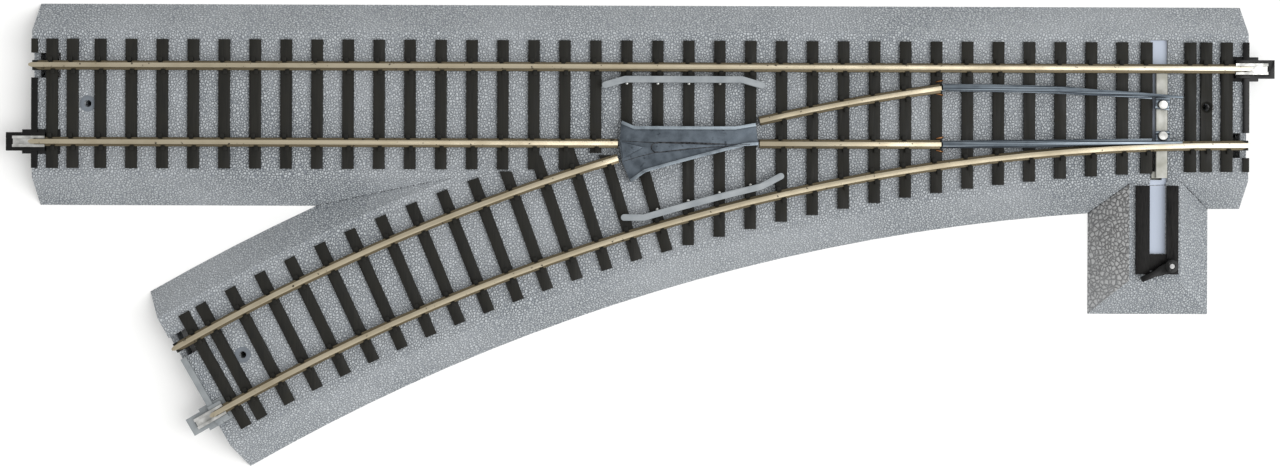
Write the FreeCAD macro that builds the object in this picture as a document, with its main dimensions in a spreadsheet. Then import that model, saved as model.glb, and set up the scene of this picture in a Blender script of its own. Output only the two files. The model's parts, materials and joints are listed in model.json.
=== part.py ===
import FreeCAD, Part
import Sketcher
import math
import os
import re

# A left-hand model railway turnout, seen from its toe end: a straight main leg, a curved
# branch leg that leaves it towards -Y, two swinging point blades, and a hand lever in a
# housing beside the toe.
# Millimetres. The origin is the toe joint, on the main centreline, at the underside.
# +X leaves the toe end, +Y is the side away from the branch and +Z is up.

Vector = FreeCAD.Vector
UP = Vector(0, 0, 1)

os.makedirs("parts", exist_ok=True)
doc = FreeCAD.newDocument("Turnout")

# ---------------------------------------------------------------- driving dimensions

DIMENSIONS = {
    "main_length": (381, "straight leg, joint face to joint face"),
    "lead_in": (5, "straight track between the toe face and the curve"),
    "curve_radius": (650, "branch centreline"),
    "curve_angle": (30, "branch turn, degrees"),
    "gauge": (22.45, "between the rail heads"),
    "base_half": (32, "half the roadbed's foot"),
    "crown_half": (23, "half the roadbed's flat top"),
    "bed_top": (9.7, "roadbed height"),
    "deck": (2, "thickness of the roadbed's top"),
    "wall_run": (2.2, "thickness of the sloped walls, measured level"),
    "end_wall": (2, "thickness of the end walls"),
    "rib": (1.6, "cross rib thickness"),
    "rib_start": (60, "toe face to the first cross rib"),
    "rib_step": (62, "between cross ribs"),
    "tie_width": (3.6, "width of a tie"),
    "tie_length": (40.5, "length of a plain tie"),
    "tie_rise": (1, "height of a tie above the roadbed"),
    "tie_step": (9.69, "tie spacing on the main leg"),
    "branch_step": (10.12, "tie spacing on the branch"),
    "rail_height": (3.3, "rail foot to rail top"),
    "head_width": (1.45, "rail head"),
    "head_depth": (1, "rail head"),
    "web_width": (0.75, "rail web"),
    "foot_width": (2.9, "rail foot"),
    "foot_depth": (0.55, "rail foot"),
    "nose_run": (2.6, "length of the tapered nose at each outer rail end"),
    "nose_half": (0.3, "half the width of that nose at its tip"),
    "spike_width": (1.1, "spike head across the rail"),
    "spike_length": (1.3, "spike head along the rail"),
    "spike_rise": (1, "spike head above the tie"),
    "spike_stagger": (0.45, "spike head off the tie's middle"),
    "fit": (0.05, "running clearance"),
    "tie_start": (39.67, "toe face to the first evenly spaced tie"),
    "branch_start": (14.3, "first branch tie before the first main tie behind the frog"),
    "branch_end_tie": (7.739, "branch face to its end tie"),
    "end_tie_room": (0.5, "least gap before an end tie, in tie steps"),
    "tie_gap": (0.6, "between the ends of ties that meet at an angle"),
    "short_tie_end": (-15, "end of the ties that stop under the frog"),
    "spike_clear": (72, "toe face to the last spike inside the blades' reach"),
    "joint_gap": (0.4, "gap where two rails meet end to end"),
    "heel_station": (96.3, "toe face to the heel end of the blades"),
    "heel_inset": (1.7, "heel end of a blade to its pin"),
    "blade_length": (74.6, "heel end to tip of a blade"),
    "blade_floor": (10.85, "underside of the blades"),
    "blade_step": (11.6, "top of a blade's foot"),
    "blade_top": (13.9, "top of a blade"),
    "heel_pin": (0.8, "heel pin radius"),
    "bar_station": (27.3, "toe face to the throwbar's middle"),
    "bar_width": (3.4, "throwbar"),
    "bar_depth": (1.6, "throwbar"),
    "bar_floor": (8.9, "underside of the throwbar"),
    "bar_top_end": (1.3, "throwbar end beyond the middle of the straight stock rail"),
    "bar_low_end": (-22.2, "throwbar end on the lever side"),
    "channel_side": (1.7, "channel beside the throwbar, on the heel side"),
    "channel_end": (21, "channel end on the far side"),
    "channel_floor": (8.7, "floor of the throwbar channel"),
    "channel_play": (0.3, "clearance beside the throwbar and its link"),
    "dropper_width": (2, "leg between the throwbar and its link"),
    "link_near": (27.2, "toe face to the near side of the drive link"),
    "link_far": (30.2, "toe face to the far side of the drive link"),
    "rivet": (0.7, "blade rivet shank radius"),
    "rivet_head": (1.5, "blade rivet head radius"),
    "lower_rivet_inset": (2.95, "curved stock rail's side to the lower rivet"),
    "upper_rivet_inset": (4.0774, "straight stock rail to the upper rivet, with its blade closed"),
    "lever_station": (24.6, "toe face to the lever pivot"),
    "lever_side": (-49.7, "main centreline to the lever pivot"),
    "lever_reach": (10.2, "pivot to the lever tip"),
    "lever_half_swing": (24.8, "half the lever's swing, degrees"),
    "crank_reach": (8.55, "pivot to the drive pin"),
    "drive_pin": (0.9, "drive pin radius"),
    "slot_play": (0.15, "drive pin to the sides of its slot"),
    "shaft": (1.2, "lever shaft radius"),
    "pivot_pin": (0.5, "lever pivot pin radius"),
    "link_floor": (5.6, "underside of the drive link"),
    "link_depth": (1.4, "thickness of the drive link"),
    "housing_near": (10, "toe face to the near foot of the housing"),
    "housing_far": (48.2, "toe face to the far foot of the housing"),
    "housing_side": (-65.5, "main centreline to the outer foot of the housing"),
    "housing_slope": (11.1, "level run of the housing's slopes"),
    "yoke_wall": (0.6, "metal round the drive link's slot"),
    "play_along": (0.8, "rivet to its slot, along the track"),
    "play_across": (0.2, "rivet to its slot, across the track"),
    "blade_bow": (0.6, "share of the bowed blade's rise that its curve takes back"),
    "blade_half": (0.75, "half the width of a blade's head"),
    "blade_tip": (0.35, "half the width of a blade at its tip"),
    "blade_foot": (1.2, "half the width of a blade's foot"),
    "blade_tie": (32.06, "toe face to the tie before the throwbar"),
    "toe_end_tie": (6.97, "toe face to the first tie"),
    "toe_third_tie": (18.34, "toe face to the third tie"),
    "heel_end_tie": (6.5, "heel face to the first tie"),
    "heel_second_tie": (12.9, "heel face to the second tie"),
    "heel_third_tie": (21.6, "heel face to the third tie"),
    "lever_lift": (0.2, "headblock bars to the lever"),
    "lever_depth": (1.6, "thickness of the lever"),
    "lever_boss_radius": (2.1, "lever boss"),
    "crank_floor": (3.8, "underside of the crank"),
    "crank_depth": (1.4, "thickness of the crank"),
    "crank_hub_radius": (3, "crank hub"),
    "screw_depth": (2.8, "cover screw thread in its boss"),
    "seam": (0.1, "seam between the housing and the roadbed"),
    "cover_floor": (0.9, "underside of the housing's cover"),
    "cover_depth": (1.2, "thickness of the housing's cover"),
    "boss": (2, "cover screw boss radius"),
    "screw": (0.8, "shank radius of the small screws"),
    "screw_head": (1.5, "head radius of the small screws"),
    "screw_head_depth": (0.6, "head thickness of the small screws"),
    "frame_near": (22, "toe face to the headblock frame"),
    "frame_far": (35.3, "toe face to the frame's far side"),
    "frame_end": (-52.3, "main centreline to the frame's outer end"),
    "cover_inset": (4.8, "housing foot to the edge of its cover"),
    "boss_inset": (3.5, "cover edge to the cover screws"),
    "bar_inner_far": (31, "toe face to the inner side of the far headblock bar"),
    "bar_inner_near": (25.7, "toe face to the inner side of the near headblock bar"),
    "cross_plate": (6.3, "width of the plate that joins the headblock bars"),
    "clip_floor": (7.4, "underside of the end clips"),
    "clip_top": (9.6, "top of the clip's loop"),
    "loop_reach": (8.2, "end clip beyond the joint face"),
    "loop_width": (5.8, "end clip loop"),
    "loop_window": (3.4, "opening in the loop"),
    "loop_wall": (2.1, "outer end of the loop"),
    "shoulder_reach": (3.1, "wide part of the clip beyond the joint face"),
    "shoulder_width": (7.6, "wide part of the clip"),
    "notch_width": (7.8, "end notches in the roadbed"),
    "notch_depth": (9, "end notches in the roadbed"),
    "joiner_width": (3.5, "rail joiner"),
    "joiner_reach": (5.6, "rail joiner beyond the joint face"),
    "joiner_inset": (4.5, "rail joiner behind the joint face"),
    "sheet": (0.25, "rail joiner metal"),
    "strip_width": (1.9, "half tie at a joint face"),
    "hole": (1.1, "fixing hole radius"),
    "sink": (2.5, "countersink radius"),
    "sink_depth": (1.3, "countersink depth"),
    "hole_boss": (3.2, "fixing hole boss radius"),
    "toe_hole": (13.4, "toe face to its fixing hole"),
    "heel_hole": (17.5, "heel or branch face to its fixing hole"),
    "guard_offset": (3.9, "rail middle to guard rail middle"),
    "guard_width": (2, "guard rail"),
    "guard_rise": (2.9, "guard rail above the ties"),
    "guard_toe": (22.467, "rail crossing to the guard rails' toe end"),
    "curved_guard_lead": (6, "curved guard rail nearer to the toe than the straight one"),
    "guard_run": (36.4, "guard rails' straight stretch"),
    "guard_flare": (1.8, "sideways flare of the guard rail ends"),
    "guard_flare_run": (6.2, "length of the guard rail ends"),
    "frog_toe": (27.567, "rail crossing to the frog's toe end"),
    "frog_heel": (15.733, "rail crossing to the frog's heel end"),
    "frog_screw_near": (10.8, "rail crossing to the toe side screw, before it seeks a gap"),
    "frog_screw_far": (8.6, "rail crossing to the heel side screw, before it seeks a gap"),
    "frog_straight_side": (5.4, "straight rail to the frog's edge"),
    "frog_branch_side": (6.6, "branch rail to the frog's edge"),
    "frog_taper": (4, "length of the frog's flared corners"),
    "frog_floor": (12.9, "floor between the frog's rims"),
    "frog_rim": (1, "width of the frog's rims"),
    "frog_corner_flare": (1.7, "sideways flare of the frog's heel corners"),
    "frog_toe_flare": (1.1, "sideways flare of the frog's toe corner"),
    "frog_corner_set": (3.6, "frog's lower heel corner ahead of its upper one"),
    "frog_upper_set": (0.7, "frog's upper heel corner ahead of its heel end"),
    "frog_nose_set": (11.6, "frog's heel end to the nose of its vee"),
    "frog_nose_radius": (1.45, "nose of the frog's vee"),
    "frog_vee_length": (33, "frog's heel end to the far tip of its vee"),
    "frog_vee_middle": (1.2, "rail middle to the middle of the frog's vee"),
    "frog_vee_rise": (0.35, "height of the frog's vee above its floor"),
    "stud_radius": (0.45, "guard rail studs"),
    "stud_rise": (1.4, "height of a guard rail stud above its tie"),
    "jumper_lead": (12.3, "frog's toe end to the jumper straps"),
    "jumper_width": (3, "jumper straps"),
    "jumper_depth": (0.4, "jumper straps"),
    "jumper_post": (0.6, "radius of the posts up to the rails"),
}

sheet = doc.addObject("Spreadsheet::Sheet", "Dims")
for row, (alias, (number, meaning)) in enumerate(DIMENSIONS.items(), start=1):
    sheet.set(f"A{row}", alias)
    sheet.set(f"B{row}", str(number))
    sheet.set(f"C{row}", meaning)
    sheet.setAlias(f"B{row}", alias)
doc.recompute()


def bound(text):
    """The same sum with each dimension's name pointed at its cell of the sheet."""
    return re.sub(r"[a-z_]+", lambda word: prefixed(word.group()), str(text))


def prefixed(word):
    return f"Dims.{word}" if word in DIMENSIONS else word


def value(text):
    """The number that a sum of dimensions comes to."""
    return float(sheet.evalExpression(bound(text)))


# Levels and offsets that several pieces share, as sums of dimensions.
RAIL_SEAT = "(bed_top + tie_rise)"
RAIL_TOP = "(bed_top + tie_rise + rail_height)"
RAIL_OFFSET = "((gauge + head_width) / 2)"
BED_SLOPE = "((base_half - crown_half) / bed_top)"
HOLLOW_TOP = "(bed_top - deck)"
BAR_TOP = "(bar_floor + bar_depth)"
COVER_TOP = "(cover_floor + cover_depth)"
# Where the two inner rails would cross, and the pieces that stand by that place.
CROSSING = "(lead_in + 2 * sqrt(curve_radius * (gauge + head_width) / 2))"
FROG_TOE = f"({CROSSING} - frog_toe)"
FROG_HEEL = f"({CROSSING} + frog_heel)"

rail_seat = value(RAIL_SEAT)
rail_top = value(RAIL_TOP)
rail_offset = value(RAIL_OFFSET)
curve_radius = value("curve_radius")
lead_in = value("lead_in")
main_length = value("main_length")
throw = 2 * value("crank_reach") * math.sin(math.radians(value("lever_half_swing")))
blade_swing = math.degrees(throw / value("heel_station - heel_inset - bar_station"))
frog_toe = value(FROG_TOE)
frog_heel = value(FROG_HEEL)
branch_length = lead_in + math.radians(value("curve_angle")) * curve_radius


# ---------------------------------------------------------------- places on the track

def on_curve(angle, offset=0.0):
    """A point of the branch at an angle in degrees, offset outwards from its centreline."""
    turn = math.radians(angle)
    reach = curve_radius + offset
    return Vector(-lead_in - reach * math.sin(turn), reach * math.cos(turn) - curve_radius, 0)


def angle_at(station, offset=0.0):
    """The branch angle at which a line offset from its centreline passes a station."""
    return math.degrees(math.asin((station - lead_in) / (curve_radius + offset)))


def gap_near(station):
    """The middle of the gap between two evenly spaced ties that a station falls in."""
    step = value("tie_step")
    start = value("tie_start")
    return start + (math.floor((station - start) / step) + 0.5) * step


def curve_frame(angle):
    """The curve's centre, turned so that local +X points at the branch at this angle."""
    centre = Vector(-lead_in, -curve_radius, 0)
    return FreeCAD.Placement(centre, FreeCAD.Rotation(UP, 90 + angle))


def along_branch(length):
    """The branch angle at a length of track from the toe face."""
    return math.degrees((length - lead_in) / curve_radius)


# Each joint face has a frame with +X out of the face. In it the clip is always on the
# rail at +Y and the plain rail end is always the one at -Y, so any two ends will mate.
HERE = FreeCAD.Placement()
TOE = FreeCAD.Placement()
HEEL = FreeCAD.Placement(Vector(-main_length, 0, 0), FreeCAD.Rotation(UP, 180))
BRANCH = FreeCAD.Placement(
    on_curve(value("curve_angle")), FreeCAD.Rotation(UP, 180 + value("curve_angle"))
)
ENDS = {"toe": TOE, "heel": HEEL, "branch": BRANCH}


# ---------------------------------------------------------------- building helpers

def bind(item, **sizes):
    for name, text in sizes.items():
        item.setExpression(name, bound(text))


def label(item, name):
    item.Label = name
    return item


def block(name, x_span, y_span, z_span, frame=HERE):
    """A box between two planes each way, in its frame."""
    item = doc.addObject("Part::Box", name)
    lengths = [f"{high} - ({low})" for low, high in (x_span, y_span, z_span)]
    bind(item, Length=lengths[0], Width=lengths[1], Height=lengths[2])
    corner = Vector(value(x_span[0]), value(y_span[0]), value(z_span[0]))
    item.Placement = frame * FreeCAD.Placement(corner, FreeCAD.Rotation())
    return item


def post(name, radius, x, y, z_span, frame=HERE):
    """An upright cylinder."""
    item = doc.addObject("Part::Cylinder", name)
    bind(item, Radius=radius, Height=f"{z_span[1]} - ({z_span[0]})")
    foot = Vector(value(x), value(y), value(z_span[0]))
    item.Placement = frame * FreeCAD.Placement(foot, FreeCAD.Rotation())
    return item


def cone(name, low_radius, high_radius, x, y, z_span, frame=HERE):
    """An upright cone."""
    item = doc.addObject("Part::Cone", name)
    bind(item, Radius1=low_radius, Radius2=high_radius, Height=f"{z_span[1]} - ({z_span[0]})")
    foot = Vector(value(x), value(y), value(z_span[0]))
    item.Placement = frame * FreeCAD.Placement(foot, FreeCAD.Rotation())
    return item


def fused(name, pieces):
    if len(pieces) == 1:
        return label(pieces[0], name)
    item = doc.addObject("Part::MultiFuse", name)
    item.Shapes = pieces
    return item


def cut(name, base, tools):
    item = doc.addObject("Part::Cut", name)
    item.Base = base
    item.Tool = fused(f"{name}_tools", tools)
    return item


def grouped(name, pieces):
    """Several separate solids under one name."""
    item = doc.addObject("Part::Compound", name)
    item.Links = pieces
    return item


def feature(name, shape):
    item = doc.addObject("Part::Feature", name)
    item.Shape = shape
    item.Placement = HERE
    return item


def polygon(sketch, corners):
    """A closed outline whose corners are all tied to the sheet."""
    spots = [Vector(value(across), value(up), 0) for across, up in corners]
    for index, spot in enumerate(spots):
        following = spots[(index + 1) % len(spots)]
        sketch.addGeometry(Part.LineSegment(spot, following), False)
    for index in range(len(spots)):
        after = (index + 1) % len(spots)
        sketch.addConstraint(Sketcher.Constraint("Coincident", index, 2, after, 1))
    for index, (across, up) in enumerate(corners):
        for kind, text in (("DistanceX", across), ("DistanceY", up)):
            rule = Sketcher.Constraint(kind, -1, 1, index, 1, value(text))
            number = sketch.addConstraint(rule)
            sketch.setExpression(f"Constraints[{number}]", bound(text))


def section(body, role, corners):
    sketch = body.newObject("Sketcher::SketchObject", f"{body.Name}_section")
    planes = [item for item in body.Origin.OriginFeatures if item.Role == role]
    sketch.AttachmentSupport = (planes[0], [""])
    sketch.MapMode = "FlatFace"
    polygon(sketch, corners)
    return sketch


def straight_run(name, corners, start, length):
    """A section, given as offsets from the main centreline, run towards the heel."""
    body = doc.addObject("PartDesign::Body", name)
    sketch = section(body, "YZ_Plane", corners)
    pad = body.newObject("PartDesign::Pad", f"{name}_run")
    pad.Profile = sketch
    pad.Reversed = True
    pad.setExpression("Length", bound(length))
    body.Placement = FreeCAD.Placement(Vector(-value(start), 0, 0), FreeCAD.Rotation())
    return body


def curved_run(name, corners, start_angle, span):
    """The same kind of section, swept round the branch from an angle, through a span."""
    body = doc.addObject("PartDesign::Body", name)
    outer = [(f"curve_radius + ({across})", up) for across, up in corners]
    sketch = section(body, "XZ_Plane", outer)
    turn = body.newObject("PartDesign::Revolution", f"{name}_run")
    turn.Profile = sketch
    turn.ReferenceAxis = (sketch, ["V_Axis"])
    turn.setExpression("Angle", bound(span))
    body.Placement = curve_frame(start_angle)
    return body


def strip(path, half_widths, low, high):
    """A flat bar along a path, with its own half width at each point."""
    left = []
    right = []
    for index, spot in enumerate(path):
        before = path[max(index - 1, 0)]
        after = path[min(index + 1, len(path) - 1)]
        along = (after - before).normalize()
        across = Vector(-along.y, along.x, 0) * half_widths[index]
        left.append(spot + across)
        right.append(spot - across)
    outline = left + right[::-1]
    edge = Part.makePolygon([Vector(spot.x, spot.y, low) for spot in outline + outline[:1]])
    return Part.Face(edge).extrude(Vector(0, 0, high - low))


# ---------------------------------------------------------------- roadbed

def bed_outline():
    return [
        ("-base_half", "0"),
        ("-crown_half", "bed_top"),
        ("crown_half", "bed_top"),
        ("base_half", "0"),
    ]


def hollow_outline():
    upper = f"crown_half + {BED_SLOPE} * deck - wall_run"
    return [
        ("-(base_half - wall_run)", "0"),
        (f"-({upper})", HOLLOW_TOP),
        (upper, HOLLOW_TOP),
        ("base_half - wall_run", "0"),
    ]


def fixing_holes():
    """Each fixing hole's name and place."""
    branch_angle = value("curve_angle") - math.degrees(value("heel_hole") / curve_radius)
    return {
        "toe": Vector(-value("toe_hole"), 0, 0),
        "heel": Vector(value("heel_hole") - main_length, 0, 0),
        "branch": on_curve(branch_angle),
    }


def make_roadbed():
    """The grey moulding: two hollow legs, with bosses under the fixing holes."""
    outside = [
        straight_run("main_leg", bed_outline(), "0", "main_length"),
        curved_run("branch_leg", bed_outline(), 0, "curve_angle"),
    ]
    branch_hollow_span = "curve_angle - end_wall / curve_radius * 180 / pi"
    inside = [
        straight_run("main_hollow", hollow_outline(), "end_wall", "main_length - 2 * end_wall"),
        curved_run("branch_hollow", hollow_outline(), 0, branch_hollow_span),
    ]
    shell = cut("bed_shell", fused("bed_legs", outside), inside)

    inner_parts = [shell]
    station = value("rib_start")
    while station < main_length - value("rib_start"):
        rib = straight_run("bed_rib", hollow_outline(), "0", "rib")
        rib.Placement.Base = Vector(-station, 0, 0)
        inner_parts.append(rib)
        station += value("rib_step")
    for name, spot in fixing_holes().items():
        place = FreeCAD.Placement(spot, FreeCAD.Rotation())
        inner_parts.append(post(f"{name}_boss", "hole_boss", "0", "0", ("0", "bed_top"), place))

    tools = []
    for name, frame in ENDS.items():
        for side in ("-", ""):
            middle = f"{side}{RAIL_OFFSET}"
            width = (f"{middle} - notch_width / 2", f"{middle} + notch_width / 2")
            height = ("clip_floor - fit", "bed_top + 1")
            tools.append(block(f"{name}_notch", ("-notch_depth", "1"), width, height, frame))
    for name, spot in fixing_holes().items():
        place = FreeCAD.Placement(spot, FreeCAD.Rotation())
        tools.append(post(f"{name}_hole", "hole", "0", "0", ("-1", "bed_top + 1"), place))
        sink = ("bed_top - sink_depth", "bed_top")
        tools.append(cone(f"{name}_sink", "hole", "sink", "0", "0", sink, place))
    channel_x = (
        "-bar_station - bar_width / 2 - channel_side",
        "-bar_station + bar_width / 2 + channel_play",
    )
    link_x = ("-link_far - channel_play", "-link_near + channel_play")
    leg_y = (
        "bar_low_end - 2 * channel_play",
        f"bar_low_end + dropper_width + {throw:.3f} + 2 * channel_play",
    )
    link_y = ("-base_half", "bar_low_end + dropper_width")
    link_z = ("link_floor - channel_play", "link_floor + link_depth + channel_play")
    above_floor = ("channel_floor", "bed_top + 1")
    tools.append(block("bar_channel", channel_x, ("-base_half", "channel_end"), above_floor))
    tools.append(block("dropper_slot", link_x, leg_y, (f"{HOLLOW_TOP} - 1", "bed_top + 1")))
    tools.append(block("link_window", link_x, link_y, link_z))
    through = (f"{HOLLOW_TOP} - 1", "bed_top + 1")
    for x, y in heel_pin_spots():
        tools.append(post("heel_pin_hole", "heel_pin", x, y, through))
    for x, y in frog_screw_spots():
        tools.append(post("frog_screw_hole", "screw + fit", x, y, through))
        room = ("screw_head + channel_play", x, y, ("0", HOLLOW_TOP))
        tools.append(post("frog_screw_room", *room))
    for spots in jumper_spots().values():
        for spot in spots:
            place = FreeCAD.Placement(spot, FreeCAD.Rotation())
            tools.append(post("jumper_hole", "jumper_post + fit", "0", "0", through, place))
    return cut("roadbed", fused("bed_body", inner_parts), tools)


# ---------------------------------------------------------------- rails

def rail_outline(offset):
    """The rail's section: foot, web and head."""
    foot = "foot_width / 2"
    web = "web_width / 2"
    head = "head_width / 2"
    head_floor = f"{RAIL_TOP} - head_depth"
    half = [
        (foot, RAIL_SEAT),
        (foot, f"{RAIL_SEAT} + foot_depth"),
        (web, f"{RAIL_SEAT} + foot_depth * 1.3"),
        (web, head_floor),
        (head, f"{head_floor} + web_width / 4"),
        (head, RAIL_TOP),
    ]
    right = [(f"{offset} + {across}", up) for across, up in half]
    left = [(f"{offset} - {across}", up) for across, up in half]
    return right + left[::-1]


def nose_tools(name, frame, side):
    """Two blocks that taper a rail to a nose at a joint face."""
    root = value("foot_width / 2")
    slope = math.degrees(math.atan2(root - value("nose_half"), value("nose_run")))
    middle = value(f"{side}{RAIL_OFFSET}")
    tools = []
    for hand in (1, -1):
        tool = block(f"{name}_nose", ("0", "2 * nose_run"), ("0", "nose_run"), ("0", "2 * bed_top"))
        foot = Vector(-value("nose_run"), middle + hand * root, 0)
        turn = FreeCAD.Placement(foot, FreeCAD.Rotation(UP, -hand * slope))
        shift = 0 if hand > 0 else -value("nose_run")
        tool.Placement = frame * turn * FreeCAD.Placement(Vector(0, shift, 0), FreeCAD.Rotation())
        tools.append(tool)
    return tools


def make_rails():
    """Six lengths of rail, each resting on the ties."""
    near = RAIL_OFFSET
    far = f"-{RAIL_OFFSET}"
    heel_joint = "heel_station + joint_gap"
    toe_joint = f"{FROG_TOE} - joint_gap"
    frog_joint = f"{FROG_HEEL} + joint_gap"

    stock = straight_run("stock_run", rail_outline(near), "0", "main_length")
    noses = nose_tools("straight_stock_toe", TOE, "") + nose_tools("straight_stock_heel", HEEL, "-")
    rails = [cut("straight_stock_rail", stock, noses)]

    lead = straight_run("stock_lead", rail_outline(far), "0", "lead_in")
    bend = curved_run("stock_bend", rail_outline(far), 0, "curve_angle")
    noses = nose_tools("curved_stock_toe", TOE, "-") + nose_tools("curved_stock_heel", BRANCH, "")
    rails.append(cut("curved_stock_rail", fused("stock_path", [lead, bend]), noses))

    closure_length = f"{toe_joint} - ({heel_joint})"
    rails.append(straight_run("straight_closure_rail", rail_outline(far), heel_joint, closure_length))
    start = angle_at(value(heel_joint), rail_offset)
    span = angle_at(value(toe_joint), rail_offset) - start
    rails.append(curved_run("curved_closure_rail", rail_outline(near), start, f"{span:.5f}"))

    heel_run = straight_run("heel_run", rail_outline(far), frog_joint, f"main_length - ({frog_joint})")
    rails.append(cut("straight_heel_rail", heel_run, nose_tools("straight_heel", HEEL, "")))
    start = angle_at(value(frog_joint), rail_offset)
    branch_run = curved_run("branch_run", rail_outline(near), start, f"curve_angle - {start:.5f}")
    noses = nose_tools("branch_heel", BRANCH, "-")
    rails.append(cut("branch_heel_rail", branch_run, noses))
    return rails


# ---------------------------------------------------------------- ties

def upright_box(x_span, y_span, z_span):
    low = Vector(x_span[0], y_span[0], z_span[0])
    return Part.makeBox(x_span[1] - x_span[0], y_span[1] - y_span[0], z_span[1] - z_span[0], low)


def spike(spot, heading, side):
    """A spike head beside the rail foot, with a lip over it."""
    foot = value("foot_width") / 2
    outer = foot + value("fit + spike_width")
    middle = -side * value("spike_stagger")
    x_span = (middle - value("spike_length") / 2, middle + value("spike_length") / 2)
    top = rail_seat + value("spike_rise")
    lip_floor = rail_seat + value("foot_depth * 1.3 + fit")
    shank = upright_box(x_span, (foot + value("fit"), outer), (rail_seat, top))
    lip = upright_box(x_span, (foot - value("foot_depth / 2"), outer), (lip_floor, top))
    head = shank.fuse(lip)
    if side < 0:
        head = head.mirror(Vector(0, 0, 0), Vector(0, 1, 0))
    head.Placement = FreeCAD.Placement(spot, FreeCAD.Rotation(UP, heading)) * head.Placement
    return head


def straight_rail_spot(station, side):
    return Vector(-station, side * rail_offset, 0), 0


def curved_rail_spot(station, side):
    angle = angle_at(station, side * rail_offset)
    return on_curve(angle, side * rail_offset), angle


def main_tie(station, low, crossings):
    """A tie square to the main leg; crossings give each rail's place, heading and sides."""
    half = value("tie_width") / 2
    x_span = (-station - half, -station + half)
    body = upright_box(x_span, (low, value("tie_length") / 2), (value("bed_top"), rail_seat))
    spikes = [spike(spot, heading, side) for (spot, heading), sides in crossings for side in sides]
    return body.fuse(spikes) if spikes else body


def branch_tie(length, sides_out=(1, -1), ceiling=None):
    """A tie square to the branch, stopped short at a ceiling beside the main ties."""
    angle = along_branch(length)
    half = value("tie_width") / 2
    reach = value("tie_length") / 2
    body = upright_box((-half, half), (-reach, reach), (value("bed_top"), rail_seat))
    body.Placement = FreeCAD.Placement(on_curve(angle), FreeCAD.Rotation(UP, angle))
    if ceiling is not None:
        beyond = upright_box((-main_length, 0), (ceiling, 0), (0, 2 * rail_seat))
        body = body.cut(beyond)
    spikes = [spike(on_curve(angle, -rail_offset), angle, side) for side in (1, -1)]
    spikes += [spike(on_curve(angle, rail_offset), angle, side) for side in sides_out]
    return body.fuse(spikes)


def long_tie_end(station):
    """Where a long main tie ends, in line with the ends of the branch's own ties."""
    if station < lead_in:
        return -value("tie_length") / 2
    reach = -value("tie_length") / 2
    return on_curve(angle_at(station, reach), reach).y


def turnout_tie(station, low=None):
    """A main tie between the frog and the toe, with the rails that cross it.

    Without a low end of its own it is a long tie that carries both routes."""
    both = (1, -1)
    clear = station > value("spike_clear")
    crossings = [(straight_rail_spot(station, 1), both if clear else (1,))]
    if low is not None:
        return main_tie(station, low, crossings)
    crossings.append((curved_rail_spot(station, -1), both if clear else (-1,)))
    closure = value("heel_station + tie_width") < station < frog_toe - value("tie_width") / 2
    if closure:
        crossings.append((straight_rail_spot(station, -1), both))
        crossings.append((curved_rail_spot(station, 1), both))
    return main_tie(station, long_tie_end(station), crossings)


def plain_tie(station):
    """A main tie of plain length under the two main rails."""
    crossings = [(straight_rail_spot(station, side), (1, -1)) for side in (1, -1)]
    return main_tie(station, -value("tie_length") / 2, crossings)


def tongue(frame, back):
    """The support that carries a plain rail end between the two slots of its notch."""
    half = value("loop_window") / 2 - value("channel_play") / 2
    y_span = (-rail_offset - half, -rail_offset + half)
    body = upright_box((-back, -value("channel_play")), y_span, (value("bed_top") - 1, rail_seat))
    body.Placement = frame
    return body


def half_tie(frame):
    """The short end of the half tie at a joint face, beyond the plain rail end."""
    inner = -rail_offset - value("notch_width") / 2
    y_span = (-value("tie_length") / 2, inner)
    body = upright_box((-value("strip_width"), 0), y_span, (value("bed_top"), rail_seat))
    body.Placement = frame
    return body


def fixing_cut(radius, top_radius):
    """The fixing hole through the toe tie, countersunk at the top."""
    spot = Vector(-value("toe_hole"), 0, 0)
    bore = Part.makeCylinder(radius, 2 * rail_seat, spot)
    sink_floor = spot + Vector(0, 0, rail_seat - (top_radius - radius))
    return bore.fuse(Part.makeCone(radius, top_radius, top_radius - radius, sink_floor))


def evenly_spaced(start, step, end_tie):
    """Stations from a start up to the last one that leaves room before an end tie."""
    count = math.floor((end_tie - start) / step - value("end_tie_room")) + 1
    return [start + step * index for index in range(count)]


def tie_stations():
    """The evenly spaced ties of the main leg."""
    end = value("main_length - heel_third_tie")
    return evenly_spaced(value("tie_start"), value("tie_step"), end)


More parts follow.
